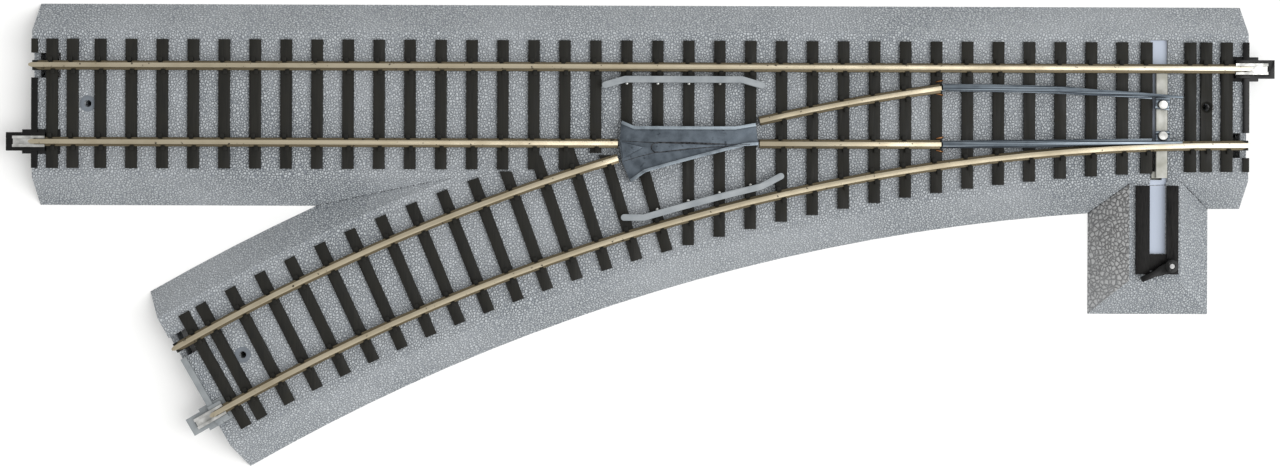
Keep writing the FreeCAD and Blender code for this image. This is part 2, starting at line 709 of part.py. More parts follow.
def make_ties():
    """The black ties, in four groups along the two legs."""
    stations = tie_stations()
    clear_of_frog = frog_heel + value("tie_width") / 2
    behind = [station for station in stations if station > clear_of_frog]
    under_frog = [station for station in stations if station <= clear_of_frog][-2:]
    short_end = value("short_tie_end")

    heel_stations = [main_length - inset for inset in END_TIES["heel"]]
    first, *others = heel_stations
    heel = [plain_tie(first).fuse(tongue(HEEL, main_length - first)), half_tie(HEEL)]
    heel += [plain_tie(station) for station in others + behind[3:]]

    branch_last = branch_length - value("branch_end_tie")
    branch_first = behind[0] - value("branch_start")
    lengths = evenly_spaced(branch_first, value("branch_step"), branch_last)
    ceiling = short_end - value("tie_gap")
    turnout = []
    for length in lengths[:2]:
        outer_rail_station = -on_curve(along_branch(length), rail_offset).x
        sides_out = (-1,) if outer_rail_station > clear_of_frog else ()
        turnout.append(branch_tie(length, sides_out, ceiling))
    for station, length in zip(behind[1:3], lengths[2:4]):
        turnout.append(plain_tie(station).fuse(branch_tie(length)))
    crossings = [(straight_rail_spot(behind[0], side), (1, -1)) for side in (1, -1)]
    turnout.append(main_tie(behind[0], short_end, crossings))
    turnout += [turnout_tie(station, short_end) for station in under_frog]
    turnout += [turnout_tie(station) for station in stations if station < under_frog[0]]
    turnout.append(turnout_tie(value("blade_tie")))

    first, hole_tie, last = END_TIES["toe"]
    toe = [turnout_tie(first).fuse(tongue(TOE, first)), half_tie(TOE), turnout_tie(last)]
    toe.append(turnout_tie(hole_tie).cut(fixing_cut(value("hole"), value("tie_width") / 2)))

    ceiling = -value("tie_length / 2 + tie_gap")
    branch = [branch_tie(length, (1, -1), ceiling) for length in lengths[4:]]
    branch.append(branch_tie(branch_last).fuse(tongue(BRANCH, value("branch_end_tie"))))
    groups = {"heel_ties": heel, "turnout_ties": turnout, "toe_ties": toe, "branch_ties": branch}
    return [feature(name, Part.Compound(solids_of(ties))) for name, ties in groups.items()]


def solids_of(shapes):
    return [solid for shape in shapes for solid in shape.Solids]


# ---------------------------------------------------------------- frog and guard rails

def frog_screw_spots():
    """The two frog screws stand in gaps between the ties under the casting."""
    near = gap_near(value(f"{CROSSING} - frog_screw_near"))
    far = gap_near(value(f"{CROSSING} + frog_screw_far"))
    return [(f"-{near:.4f}", f"-{RAIL_OFFSET} + 1.4"), (f"-{far:.4f}", f"-{RAIL_OFFSET} - 0.6")]


def frog_edges():
    """The casting's two long edges, from the heel end to the toe end."""
    heel = frog_heel
    toe = frog_toe
    taper = value("frog_taper")
    straight = value("frog_straight_side") - rail_offset
    upper = [
        Vector(-heel + value("frog_upper_set"), straight + value("frog_corner_flare"), 0),
        Vector(-heel + value("frog_upper_set") + taper, straight, 0),
        Vector(-toe - 1.8 * taper, straight, 0),
        Vector(-toe - 0.8, straight + value("frog_toe_flare"), 0),
    ]
    offset = rail_offset - value("frog_branch_side")
    corner_set = value("frog_corner_set")
    corner = on_curve(angle_at(heel - corner_set, offset), offset)
    lower = [Vector(-heel + corner_set, corner.y - value("frog_corner_flare") - 0.1, 0)]
    count = 9
    start = heel - 2 * taper
    end = toe + taper
    for index in range(count):
        station = start + (end - start) * index / (count - 1)
        lower.append(on_curve(angle_at(station, offset), offset))
    lower.append(Vector(-toe, lower[-1].y + 0.3, 0))
    return upper, lower


def flat_plate(corners, low, high):
    outline = [Vector(spot.x, spot.y, low) for spot in corners + corners[:1]]
    return Part.Face(Part.makePolygon(outline)).extrude(Vector(0, 0, high - low))


def make_frog():
    """The zinc frog: a plate with a rim along each side and a raised vee between them."""
    upper, lower = frog_edges()
    floor = value("frog_floor")
    rim = value("frog_rim")
    heel = -frog_heel
    heel_side = [Vector(heel, -rail_offset, 0), Vector(heel + 1, lower[0].y / 2 - rail_offset / 2, 0)]
    casting = flat_plate(upper[::-1] + heel_side + lower, rail_seat, floor)
    for edge, side in ((upper, -1), (lower, 1)):
        middle = [spot + Vector(0, side * rim * 0.52, 0) for spot in edge]
        half_widths = [rim / 2] * len(middle)
        casting = casting.fuse(strip(middle, half_widths, floor - 0.5, rail_top - 0.05))
    point = [
        Vector(heel + 0.5, -rail_offset + 0.4, 0),
        Vector(heel + 1.2, -rail_offset - 4.6, 0),
        Vector(heel + 7.4, -rail_offset - 1.2, 0),
    ]
    nose_radius = value("frog_nose_radius")
    vee_middle = -rail_offset - value("frog_vee_middle")
    nose = Vector(heel + value("frog_nose_set"), vee_middle, floor - 0.5)
    tip_x = heel + value("frog_vee_length")
    wedge = [
        Vector(nose.x, nose.y - nose_radius, 0),
        Vector(tip_x, -rail_offset - 0.9, 0),
        Vector(tip_x, -rail_offset - 0.6, 0),
        Vector(nose.x, nose.y + nose_radius, 0),
    ]
    vee_top = floor + value("frog_vee_rise")
    casting = casting.fuse(flat_plate(point, floor - 0.5, floor + 0.5))
    casting = casting.fuse(flat_plate(wedge, floor - 0.5, vee_top))
    casting = casting.fuse(Part.makeCylinder(nose_radius, vee_top - nose.z, nose))
    for x, y in frog_screw_spots():
        foot = Vector(value(x), value(y), value("bed_top"))
        casting = casting.fuse(Part.makeCylinder(value("screw_head"), value("tie_rise") + 0.5, foot))
        depth = floor - value("bed_top") - value("screw_head_depth")
        casting = casting.cut(Part.makeCylinder(value("screw"), depth, foot))
    return feature("frog_casting", casting.removeSplitter())


def make_frog_screws():
    screws = []
    for x, y in frog_screw_spots():
        head = (f"{HOLLOW_TOP} - screw_head_depth", HOLLOW_TOP)
        shank = (HOLLOW_TOP, "frog_floor - screw_head_depth")
        parts = [post("frog_screw_head", "screw_head", x, y, head)]
        parts.append(post("frog_screw_shank", "screw", x, y, shank))
        screws.append(fused("frog_screw", parts))
    return grouped("frog_screws", screws)


def guard_path(start, spot_at):
    """The middle of a guard rail: a stretch beside the running rail, flared at both ends."""
    run = value("guard_run")
    flare_run = value("guard_flare_run")
    path = [spot_at(start - flare_run, value("guard_flare"))]
    count = 7
    path += [spot_at(start + run * index / (count - 1), 0) for index in range(count)]
    path.append(spot_at(start + run + flare_run, value("guard_flare")))
    return path


def straight_guard_spot(station, flare):
    return Vector(-station, rail_offset - value("guard_offset") - flare, 0)


def curved_guard_spot(station, flare):
    offset = -rail_offset + value("guard_offset") + flare
    return on_curve(angle_at(station, offset), offset)


def make_guard_rail(name, start, spot_at):
    """A plastic guard rail with a stud beside it on each of its four ties."""
    path = guard_path(start, spot_at)
    half = value("guard_width") / 2
    bar = strip(path, [half] * len(path), rail_seat, rail_seat + value("guard_rise"))
    for spot in (path[0], path[-1]):
        foot = Vector(spot.x, spot.y, rail_seat)
        bar = bar.fuse(Part.makeCylinder(half, value("guard_rise"), foot))
    for station in tie_stations():
        if start < station < start + value("guard_run"):
            spot = spot_at(station, half)
            foot = Vector(spot.x, spot.y, rail_seat)
            stud = Part.makeCylinder(value("stud_radius"), value("stud_rise"), foot)
            bar = bar.fuse(stud)
    return feature(name, bar.removeSplitter())


# ---------------------------------------------------------------- point blades

def closed_blade_spot(hand, along):
    """The middle of a closed blade at a distance from its heel end.

    The straight blade lies against the curved stock rail (hand -1), the bowed one
    against the straight stock rail (hand 1)."""
    share = along / value("blade_length")
    station = value("heel_station") - along
    tip_station = value("heel_station - blade_length")
    contact = value("head_width / 2 + fit * 2 + blade_tip")
    if hand > 0:
        start = curved_rail_spot(value("heel_station"), 1)[0].y
        rise = rail_offset - contact - start
        bow = value("blade_bow")
        return Vector(-station, start + rise * ((1 + bow) * share - bow * share * share), 0)
    end = curved_rail_spot(tip_station, -1)[0].y + contact
    return Vector(-station, -rail_offset + (end + rail_offset) * share, 0)


def blade_pin(hand):
    return closed_blade_spot(hand, value("heel_inset"))


def heel_pin_spots():
    return [(f"{blade_pin(hand).x:.4f}", f"{blade_pin(hand).y:.4f}") for hand in (-1, 1)]


def stock_foot_limit(hand, station):
    """How far towards its stock rail a closed blade's foot may reach."""
    room = value("foot_width / 2 + 3 * fit")
    stock = curved_rail_spot(station, -1)[0].y if hand < 0 else rail_offset
    return stock - hand * room


def make_blade(name, hand):
    """A zinc blade: a tapered head on a foot, a blind bore over the pin, and a lug.

    It is drawn closed against its stock rail; the bowed blade is then swung open."""
    length = value("blade_length")
    floor = value("blade_floor")
    step = value("blade_step")
    count = 11
    heads = []
    widths = []
    outer = []
    inner = []
    foot_length = length * 0.88
    for index in range(count):
        share = index / (count - 1)
        heads.append(closed_blade_spot(hand, length * share))
        taper = max(share - 0.5, 0) * 2
        widths.append(value("blade_half") + (value("blade_tip") - value("blade_half")) * taper)
        spot = closed_blade_spot(hand, foot_length * share)
        half = value("blade_foot")
        limit = stock_foot_limit(hand, -spot.x)
        reach = spot.y + hand * half
        outer.append(Vector(spot.x, min(reach, limit) if hand > 0 else max(reach, limit), 0))
        inner.append(Vector(spot.x, spot.y - hand * half, 0))
    blade = strip(heads, widths, step, value("blade_top"))
    blade = blade.fuse(flat_plate(outer + inner[::-1], floor, step))
    pin = blade_pin(hand)
    bore_foot = Vector(pin.x, pin.y, floor)
    bore = Part.makeCylinder(value("heel_pin + fit"), step - floor, bore_foot)
    blade = blade.cut(bore)
    closed_by = throw if hand > 0 else 0
    rivet = rivet_spot(hand) + Vector(0, closed_by, 0)
    lug_half = value("rivet + play_along + 0.7")
    blade_side = closed_blade_spot(hand, length * 0.9).y
    limit = stock_foot_limit(hand, value("bar_station") - lug_half)
    side_y = min(blade_side, limit) if hand > 0 else max(blade_side, limit)
    y_span = sorted((side_y, rivet.y - hand * value("rivet + play_across + 0.6")))
    lug = upright_box((rivet.x - lug_half, rivet.x + lug_half), y_span, (floor, step))
    slot_x = value("rivet + play_along")
    slot_y = value("rivet + play_across")
    slot = upright_box((rivet.x - slot_x, rivet.x + slot_x),
                       (rivet.y - slot_y, rivet.y + slot_y), (floor, step))
    blade = blade.fuse(lug).cut(slot).removeSplitter()
    item = feature(name, blade)
    if hand > 0:
        item.Placement = FreeCAD.Placement(Vector(), FreeCAD.Rotation(UP, -blade_swing), pin)
    return item


def make_heel_pins():
    pins = []
    for x, y in heel_pin_spots():
        pins.append(post("heel_pin", "heel_pin", x, y, (HOLLOW_TOP, "blade_step - 2 * fit")))
    return grouped("blade_heel_pins", pins)


# ---------------------------------------------------------------- throwbar and rivets

def rivet_spot(hand):
    if hand < 0:
        side = value("lower_rivet_inset") - rail_offset
    else:
        side = rail_offset - value("upper_rivet_inset") - throw
    return Vector(-value("bar_station"), side, 0)


def rivet_place(hand):
    return FreeCAD.Placement(rivet_spot(hand), FreeCAD.Rotation())


def make_throwbar():
    """The throwbar under the rails, with its leg, drive link and slotted yoke below."""
    middle = "-bar_station"
    bar_x = (f"{middle} - bar_width / 2", f"{middle} + bar_width / 2")
    link_x = ("-link_far", "-link_near")
    link_z = ("link_floor", "link_floor + link_depth")
    leg_top = "bar_floor + bar_depth / 4"
    half_swing = "lever_half_swing"
    pin_x = f"-(lever_station + crank_reach * cos({half_swing}))"
    pin_y = f"(lever_side - crank_reach * sin({half_swing}))"
    across = "(drive_pin + slot_play)"
    yoke_low = f"{pin_y} - {across} - yoke_wall"
    yoke_high = f"{pin_y} + {across} + 2 * yoke_wall"
    far = f"-(lever_station + crank_reach) - {across}"
    pieces = [
        block("bar", bar_x, ("bar_low_end", f"{RAIL_OFFSET} + bar_top_end"), ("bar_floor", BAR_TOP)),
        block("bar_leg", link_x, ("bar_low_end", "bar_low_end + dropper_width"),
              ("link_floor", leg_top)),
        block("bar_link", link_x, (yoke_low, "bar_low_end + dropper_width"), link_z),
        block("bar_yoke", (f"{far} - 2 * yoke_wall", "-link_near"), (yoke_low, yoke_high), link_z),
    ]
    slot = block("yoke_slot", (far, f"{pin_x} + {across}"),
                 (f"{pin_y} - {across}", f"{pin_y} + {across}"), ("0", "bar_floor"))
    tools = [slot]
    for hand in (-1, 1):
        hole = ("0", "2 * bed_top")
        tools.append(post("rivet_hole", "rivet", "0", "0", hole, rivet_place(hand)))
    return cut("throwbar", fused("bar_body", pieces), tools)


def make_rivet(name, hand):
    place = rivet_place(hand)
    head_floor = "(blade_step + 2 * fit)"
    pieces = [
        post(f"{name}_shank", "rivet", "0", "0", ("bar_floor", head_floor), place),
        post(f"{name}_head", "rivet_head", "0", "0", (head_floor, f"{head_floor} + 0.8"), place),
    ]
    return fused(name, pieces)


# ---------------------------------------------------------------- housing and lever

def frustum(name, x_low, x_top, y_low, y_top, z_span):
    """A block whose level section changes from its foot to its top."""
    item = doc.addObject("Part::Wedge", name)
    bind(item, Xmin=x_low[0], Xmax=x_low[1], X2min=x_top[0], X2max=x_top[1])
    bind(item, Zmin=f"-({y_low[1]})", Zmax=f"-({y_low[0]})")
    bind(item, Z2min=f"-({y_top[1]})", Z2max=f"-({y_top[0]})")
    bind(item, Ymin=z_span[0], Ymax=z_span[1])
    item.Placement = FreeCAD.Placement(Vector(0, 0, 0), FreeCAD.Rotation(Vector(1, 0, 0), 90))
    return item


def cover_screw_spots():
    inset = "(cover_inset + boss_inset)"
    xs = (f"-housing_far + {inset}", f"-housing_near - {inset}")
    ys = (f"housing_side + {inset}", "-base_half - boss_inset - 0.8")
    return [(x, y) for x in xs for y in ys]


def make_housing():
    """The lever housing: a hollow pyramid against the roadbed, with bosses for its cover."""
    slope = "(housing_slope / bed_top)"
    far = "-housing_far"
    near = "-housing_near"
    outer = frustum(
        "housing_outer", (far, near), (f"{far} + housing_slope", f"{near} - housing_slope"),
        ("housing_side", "0"), ("housing_side + housing_slope", "0"), ("0", "bed_top"),
    )
    rise = f"{slope} * {HOLLOW_TOP} + wall_run"
    inner = frustum(
        "housing_inner", (f"{far} + wall_run", f"{near} - wall_run"),
        (f"{far} + {rise}", f"{near} - ({rise})"),
        ("housing_side + wall_run", "0"), (f"housing_side + {rise}", "0"), ("0", HOLLOW_TOP),
    )
    bosses = []
    pilots = []
    for x, y in cover_screw_spots():
        bosses.append(post("cover_boss", "boss", x, y, (COVER_TOP, "bed_top")))
        pilots.append(post("cover_pilot", "screw", x, y, ("0", f"{COVER_TOP} + screw_depth")))
    hollow = cut("housing_hollow", inner, bosses)
    beyond = [
        ("-(base_half + seam)", "0"),
        (f"-(crown_half + seam - {BED_SLOPE})", "bed_top + 1"),
        (f"crown_half + seam - {BED_SLOPE}", "bed_top + 1"),
        ("base_half + seam", "0"),
    ]
    bed_sides = [
        straight_run("bed_side", beyond, "0", "2 * housing_far"),
        curved_run("branch_side", beyond, 0, "curve_angle / 2"),
    ]
    channel = block("link_channel", ("-bar_inner_far", "-bar_inner_near"),
                    ("frame_end + cross_plate", "0"), ("channel_floor", "bed_top + 1"))
    bore = post("shaft_bore", "shaft + 3 * fit", "-lever_station", "lever_side",
                (f"{HOLLOW_TOP} - 1", "bed_top + 1"))
    return cut("throw_housing", outer, [hollow, *bed_sides, channel, bore, *pilots])


def make_headblock_frame():
    """Two black bars beside the channel, joined by a notched plate under the lever."""
    y_span = ("frame_end", "-(crown_half + 1.6)")
    z_span = ("bed_top", RAIL_SEAT)
    plate_z = ("bed_top", "bed_top + tie_rise / 2")
    pieces = [
        block("far_bar", ("-frame_far", "-bar_inner_far"), y_span, z_span),
        block("near_bar", ("-bar_inner_near", "-frame_near"), y_span, z_span),
        block("cross_plate_block", ("-frame_far", "-frame_near"),
              ("frame_end", "frame_end + cross_plate"), plate_z),
    ]
    tools = [
        block("plate_notch", ("-frame_far + 4.5", "-frame_far + 6"),
              ("frame_end - 1", "frame_end + 1.1"), ("0", "2 * bed_top")),
        post("frame_bore", "shaft + 3 * fit", "-lever_station", "lever_side", ("0", "2 * bed_top")),
    ]
    return cut("headblock_frame", fused("frame_bars", pieces), tools)


def make_cover():
    """The plate that closes the housing from below and carries the lever's pin."""
    x_span = ("-housing_far + cover_inset", "-housing_near - cover_inset")
    y_span = ("housing_side + cover_inset", "-base_half - 0.8")
    plate = block("cover_plate", x_span, y_span, ("cover_floor", COVER_TOP))
    socket = post("pin_socket", "3 * pivot_pin", "-lever_station", "lever_side",
                  (COVER_TOP, f"{COVER_TOP} + 1.5"))
    tools = [post("pin_bore", "pivot_pin", "-lever_station", "lever_side", ("cover_floor", "bed_top"))]
    for x, y in cover_screw_spots():
        tools.append(post("cover_hole", "screw + fit", x, y, ("0", "bed_top")))
    return cut("throw_housing_cover", fused("cover_body", [plate, socket]), tools)


def make_cover_screws():
    screws = []
    for x, y in cover_screw_spots():
        head = ("cover_floor - screw_head_depth", "cover_floor")
        shank = ("cover_floor", f"{COVER_TOP} + screw_depth")
        parts = [post("cover_screw_head", "screw_head", x, y, head)]
        parts.append(post("cover_screw_shank", "screw", x, y, shank))
        screws.append(fused("cover_screw", parts))
    return grouped("cover_screws", screws)


def lever_direction():
    """The lever's rest direction, half its swing short of square to the track."""
    turn = math.radians(180 + value("lever_half_swing"))
    return Vector(math.cos(turn), math.sin(turn), 0)


def make_lever():
    """The hand lever: a boss and tapered arm on a shaft bored for the pivot pin."""
    pivot = Vector(-value("lever_station"), value("lever_side"), 0)
    reaches = (0, 0.35, 0.55, 1)
    half_widths = (1.7, 1.5, 0.95, 0.75)
    path = [pivot + lever_direction() * (value("lever_reach") * share) for share in reaches]
    floor = rail_seat + value("lever_lift")
    arm = feature("lever_arm", strip(path, half_widths, floor, floor + value("lever_depth")))
    at = ("-lever_station", "lever_side")
    boss_z = (f"{RAIL_SEAT} + lever_lift", f"{RAIL_SEAT} + lever_lift + lever_depth + 0.4")
    boss = post("lever_boss", "lever_boss_radius", *at, boss_z)
    shaft = post("lever_shaft", "shaft", *at, ("crank_floor", f"{RAIL_SEAT} + lever_lift"))
    bore = post("lever_bore", "pivot_pin + fit", *at, ("0", "2 * bed_top"))
    return cut("throw_lever", fused("lever_body", [arm, boss, shaft]), [bore])


def make_crank():
    """The crank on the shaft's lower end, with the pin that drives the link."""
    pivot = Vector(-value("lever_station"), value("lever_side"), 0)
    pin = pivot + lever_direction() * value("crank_reach")
    floor = value("crank_floor")
    arm = feature("crank_arm", strip([pivot, pin], [2, 1.5], floor, floor + value("crank_depth")))
    at = ("-lever_station", "lever_side")
    level = ("crank_floor", "crank_floor + crank_depth")
    hub = post("crank_hub", "crank_hub_radius", *at, level)
    spot = FreeCAD.Placement(pin, FreeCAD.Rotation())
    end = post("crank_end", "1.5", "0", "0", level, spot)
    pin_top = "link_floor + link_depth + 0.2"
    drive = post("crank_pin", "drive_pin", "0", "0", ("crank_floor", pin_top), spot)
    bore = post("crank_bore", "shaft", *at, ("0", "2 * bed_top"))
    return cut("throw_crank", fused("crank_body", [arm, hub, end, drive]), [bore])


def make_pivot_pin():
    at = ("-lever_station", "lever_side")
    top = f"{RAIL_SEAT} + lever_lift + lever_depth + 0.45"
    pieces = [
        post("pin_shank", "pivot_pin", *at, ("cover_floor", top)),
        post("pin_head", "pivot_pin * 1.5", *at, (top, f"{top} + 0.25")),
    ]
    return fused("lever_pivot_pin", pieces)


def make_detent_spring():
    """A leaf on the cover that bears on the crank's hub and holds each end position."""
    near = "-lever_station + crank_hub_radius + 2 * fit"
    leaf = block("detent_leaf", (near, f"{near} + 0.3"),
                 ("lever_side - 4.5", "lever_side + 4.5"), (COVER_TOP, "crank_floor + crank_depth"))
    foot = block("detent_foot", (near, f"{near} + 3"),
                 ("lever_side + 2.5", "lever_side + 4.5"), (COVER_TOP, f"{COVER_TOP} + 0.3"))
    return fused("detent_spring", [leaf, foot])


# ---------------------------------------------------------------- joint faces

def make_end_clip(name, frame, long_strip):
    """The clip at a joint face: a loop for the next section, a shank and a half tie."""
    rail = RAIL_OFFSET
    level = ("clip_floor", "clip_top")
    arm_out = f"{rail} + loop_width / 2"
    arm_in = f"{rail} - loop_width / 2"
    clear = "(joiner_width / 2 + 2 * fit)"
    arm_x = ("-joiner_inset", "0")
    arm_z = ("bed_top", f"{RAIL_SEAT} + spike_rise * 0.8")
    strip_x = ("-strip_width", "0")
    strip_z = ("bed_top", RAIL_SEAT)
    strip_end = "tie_length / 2" if long_strip else f"{arm_out} + 1"
    pieces = [
        block(f"{name}_loop", ("0", "loop_reach"), (arm_in, arm_out), level, frame),
        block(f"{name}_shoulder", ("0", "shoulder_reach"),
              (f"{rail} - shoulder_width / 2", f"{rail} + shoulder_width / 2"), level, frame),
        block(f"{name}_shank", ("-notch_depth + 2 * fit", "0"),
              (f"{rail} - shoulder_width / 2", f"{rail} + shoulder_width / 2"),
              ("clip_floor", "bed_top"), frame),
        block(f"{name}_saddle", arm_x, (arm_in, arm_out),
              ("bed_top", f"{RAIL_SEAT} - sheet"), frame),
        block(f"{name}_outer_arm", arm_x, (f"{rail} + {clear}", arm_out), arm_z, frame),
        block(f"{name}_inner_arm", arm_x, (arm_in, f"{rail} - {clear}"), arm_z, frame),
        block(f"{name}_strip", strip_x, (f"-{rail} + notch_width / 2", f"{arm_in} + 0.5"),
              strip_z, frame),
        block(f"{name}_strip_end", strip_x, (f"{arm_out} - 0.5", strip_end), strip_z, frame),
    ]
    window = block(f"{name}_window", ("0.4", "loop_reach - loop_wall"),
                   (f"{rail} - loop_window / 2", f"{rail} + loop_window / 2"),
                   ("0", "2 * bed_top"), frame)
    return cut(name, fused(f"{name}_body", pieces), [window])


def make_joiner(name, frame):
    """The folded metal sleeve round the rail foot, ready for the next rail."""
    rail = RAIL_OFFSET
    x_span = ("-joiner_inset", "joiner_reach")
    floor = f"{RAIL_SEAT} - sheet"
    lip = f"{RAIL_SEAT} + foot_depth * 1.3"
    half = "joiner_width / 2"
    pieces = [block(f"{name}_floor", x_span, (f"{rail} - {half}", f"{rail} + {half}"),
                    (floor, RAIL_SEAT), frame)]
    for sign, other in (("+", "-"), ("-", "+")):
        wall = sorted_span(f"{rail} {sign} {half}", f"{rail} {sign} ({half} - sheet)", sign)
        fold = sorted_span(f"{rail} {sign} {half}", f"{rail} {sign} ({half} - 0.85)", sign)
        pieces.append(block(f"{name}_wall", x_span, wall, (floor, f"{lip} + sheet"), frame))
        pieces.append(block(f"{name}_fold", x_span, fold, (lip, f"{lip} + sheet"), frame))
    return fused(name, pieces)


def sorted_span(outer, inner, sign):
    return (inner, outer) if sign == "+" else (outer, inner)


# ---------------------------------------------------------------- jumper straps

def jumper_station():
    return gap_near(frog_toe - value("jumper_lead"))


def jumper_spots():
    """Where each strap's two posts meet the rails that it joins."""
    station = jumper_station()
    return {
        "straight_route_jumper": [
            curved_rail_spot(station, -1)[0],
            straight_rail_spot(station, -1)[0],
        ],
        "branch_route_jumper": [
            curved_rail_spot(station, 1)[0],
            straight_rail_spot(station, 1)[0],
        ],
    }


def make_jumper(name, spots):
    """A strap under the roadbed's top with a post up to each rail."""
    low, high = sorted(spot.y for spot in spots)
    half = "jumper_width / 2"
    middle = f"-{jumper_station():.3f}"
    strap = block(f"{name}_strap", (f"{middle} - {half}", f"{middle} + {half}"),
                  (f"{low:.3f} - {half}", f"{high:.3f} + {half}"),
                  (f"{HOLLOW_TOP} - jumper_depth", HOLLOW_TOP))
    pieces = [strap]
    for spot in spots:
        place = FreeCAD.Placement(spot, FreeCAD.Rotation())
        pieces.append(post(f"{name}_post", "jumper_post", "0", "0", (HOLLOW_TOP, RAIL_SEAT), place))
    return fused(name, pieces)


# ---------------------------------------------------------------- the whole turnout

# How far each end tie stands from its own joint face.
END_TIES = {
    "toe": (value("toe_end_tie"), value("toe_hole"), value("toe_third_tie")),
    "heel": (value("heel_end_tie"), value("heel_second_tie"), value("heel_third_tie")),
}

guard_start = value(f"{CROSSING} - guard_toe")
nodes = [
    make_roadbed(),
    *make_rails(),
    *make_ties(),
    make_frog(),
    make_frog_screws(),
    make_guard_rail("straight_guard_rail", guard_start, straight_guard_spot),
    make_guard_rail("curved_guard_rail", guard_start - value("curved_guard_lead"), curved_guard_spot),
    make_blade("straight_point_blade", -1),
    make_blade("curved_point_blade", 1),
    make_heel_pins(),
    make_throwbar(),
    make_rivet("straight_blade_rivet", -1),
    make_rivet("curved_blade_rivet", 1),
    make_housing(),
    make_headblock_frame(),
    make_cover(),
    make_cover_screws(),
    make_lever(),
    make_crank(),
    make_pivot_pin(),
    make_detent_spring(),
    make_end_clip("toe_end_clip", TOE, True),
    make_end_clip("heel_end_clip", HEEL, True),
    make_end_clip("branch_end_clip", BRANCH, False),
    make_joiner("toe_rail_joiner", TOE),
    make_joiner("heel_rail_joiner", HEEL),
    make_joiner("branch_rail_joiner", BRANCH),
]
nodes += [make_jumper(name, spots) for name, spots in jumper_spots().items()]
doc.recompute()

for item in doc.Objects:
    if "Invalid" in item.State or "Error" in item.State:
        raise RuntimeError(f"{item.Label} failed: {item.State}")
for item in nodes:
    if item.Shape.isNull() or not item.Shape.isValid():
        raise RuntimeError(f"{item.Label} has no valid shape")
    item.Shape.exportStep(f"parts/{item.Label}.step")
    print(f"{item.Label}: {len(item.Shape.Solids)} solids, {item.Shape.Volume:.1f} mm3")
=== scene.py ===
import json
import math
import random

import bmesh
import bpy
from mathutils import Euler, Matrix, Vector
from mathutils.bvhtree import BVHTree

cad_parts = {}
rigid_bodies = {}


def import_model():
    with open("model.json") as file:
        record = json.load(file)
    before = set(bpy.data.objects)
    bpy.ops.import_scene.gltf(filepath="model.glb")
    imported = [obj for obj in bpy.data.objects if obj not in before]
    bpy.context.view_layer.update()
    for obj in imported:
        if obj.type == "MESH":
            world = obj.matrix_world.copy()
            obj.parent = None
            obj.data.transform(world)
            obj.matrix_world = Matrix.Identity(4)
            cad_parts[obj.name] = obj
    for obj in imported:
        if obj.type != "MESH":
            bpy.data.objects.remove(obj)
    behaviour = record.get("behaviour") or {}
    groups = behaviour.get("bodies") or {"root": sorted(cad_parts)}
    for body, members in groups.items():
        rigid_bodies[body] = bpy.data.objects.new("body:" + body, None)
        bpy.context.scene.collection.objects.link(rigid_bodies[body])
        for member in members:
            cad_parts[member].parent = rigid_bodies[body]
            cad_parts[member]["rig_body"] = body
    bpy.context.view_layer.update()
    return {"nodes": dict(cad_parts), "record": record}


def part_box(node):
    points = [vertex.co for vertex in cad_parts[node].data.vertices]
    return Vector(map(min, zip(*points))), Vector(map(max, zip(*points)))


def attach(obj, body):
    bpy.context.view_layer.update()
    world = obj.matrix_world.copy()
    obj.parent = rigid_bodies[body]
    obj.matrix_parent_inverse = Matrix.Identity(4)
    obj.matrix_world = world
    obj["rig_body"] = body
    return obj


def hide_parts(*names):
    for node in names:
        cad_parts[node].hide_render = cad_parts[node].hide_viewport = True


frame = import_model()


def mm(length):
    return length * 0.001


def perMm(size):
    return 1000.0 / size  # texture scale at which one feature is this many mm wide


def linearColour(hexText):
    channels = [int(hexText[i:i + 2], 16) / 255 for i in (1, 3, 5)]
    linear = [c / 12.92 if c <= 0.04045 else ((c + 0.055) / 1.055) ** 2.4 for c in channels]
    return (*linear, 1.0)


firstColour, secondColour = 6, 7  # the two colour sockets of a mix node
firstValue, secondValue = 2, 3  # and its two number sockets


def addNode(tree, kind, inputs=None, **settings):
    # a number or a hex colour is set on its socket; a node is linked by its first live output
    node = tree.nodes.new(kind)
    for name, setting in settings.items():
        setattr(node, name, setting)
    for socket, given in (inputs or {}).items():
        if isinstance(given, bpy.types.Node):
            given = next(output for output in given.outputs if output.enabled)
        if isinstance(given, bpy.types.NodeSocket):
            tree.links.new(given, node.inputs[socket])
        elif isinstance(given, str):
            node.inputs[socket].default_value = linearColour(given)
        else:
            node.inputs[socket].default_value = given
    return node


def newFinish(name):
    finish = bpy.data.materials.new(name)
    finish.use_nodes = True
    tree = finish.node_tree
    tree.nodes.clear()
    place = addNode(tree, "ShaderNodeTexCoord").outputs["Object"]
    return finish, tree, place


def closeFinish(tree, relief, reliefHeight, reliefStrength, surface):
    # the relief is reliefHeight mm deep, and surface holds the shader's own inputs
    bump = addNode(tree, "ShaderNodeBump", {
        "Height": relief, "Distance": mm(reliefHeight), "Strength": reliefStrength})
    shader = addNode(tree, "ShaderNodeBsdfPrincipled", {**surface, "Normal": bump})
    addNode(tree, "ShaderNodeOutputMaterial", {"Surface": shader})


# the roadbed and the lever housing: grey ABS, moulded against an etched tool, so a matt skin of low
# packed stones, with painted shade darkening the joints between them
ballastPlastic = {
    "stone": "#b2b7ba", "creviceShade": "#646a71", "pale": "#b3b7bb", "smooth": "#b2bbca",
    "shadedWarmStone": "#acacab", "shadedWarmCrevice": "#525150",
    "stoneWidth": 0.85, "coarseStoneWidth": 1.35, "gritWidth": 0.5, "gritShare": 0.3,
    "stoneHeight": 0.36, "wander": 0.4, "driftWidth": 1.7, "patchWidth": 38.0,
    "channelFloor": 8.7, "channelBand": 0.15, "roughness": 0.62, "ior": 1.53,
}


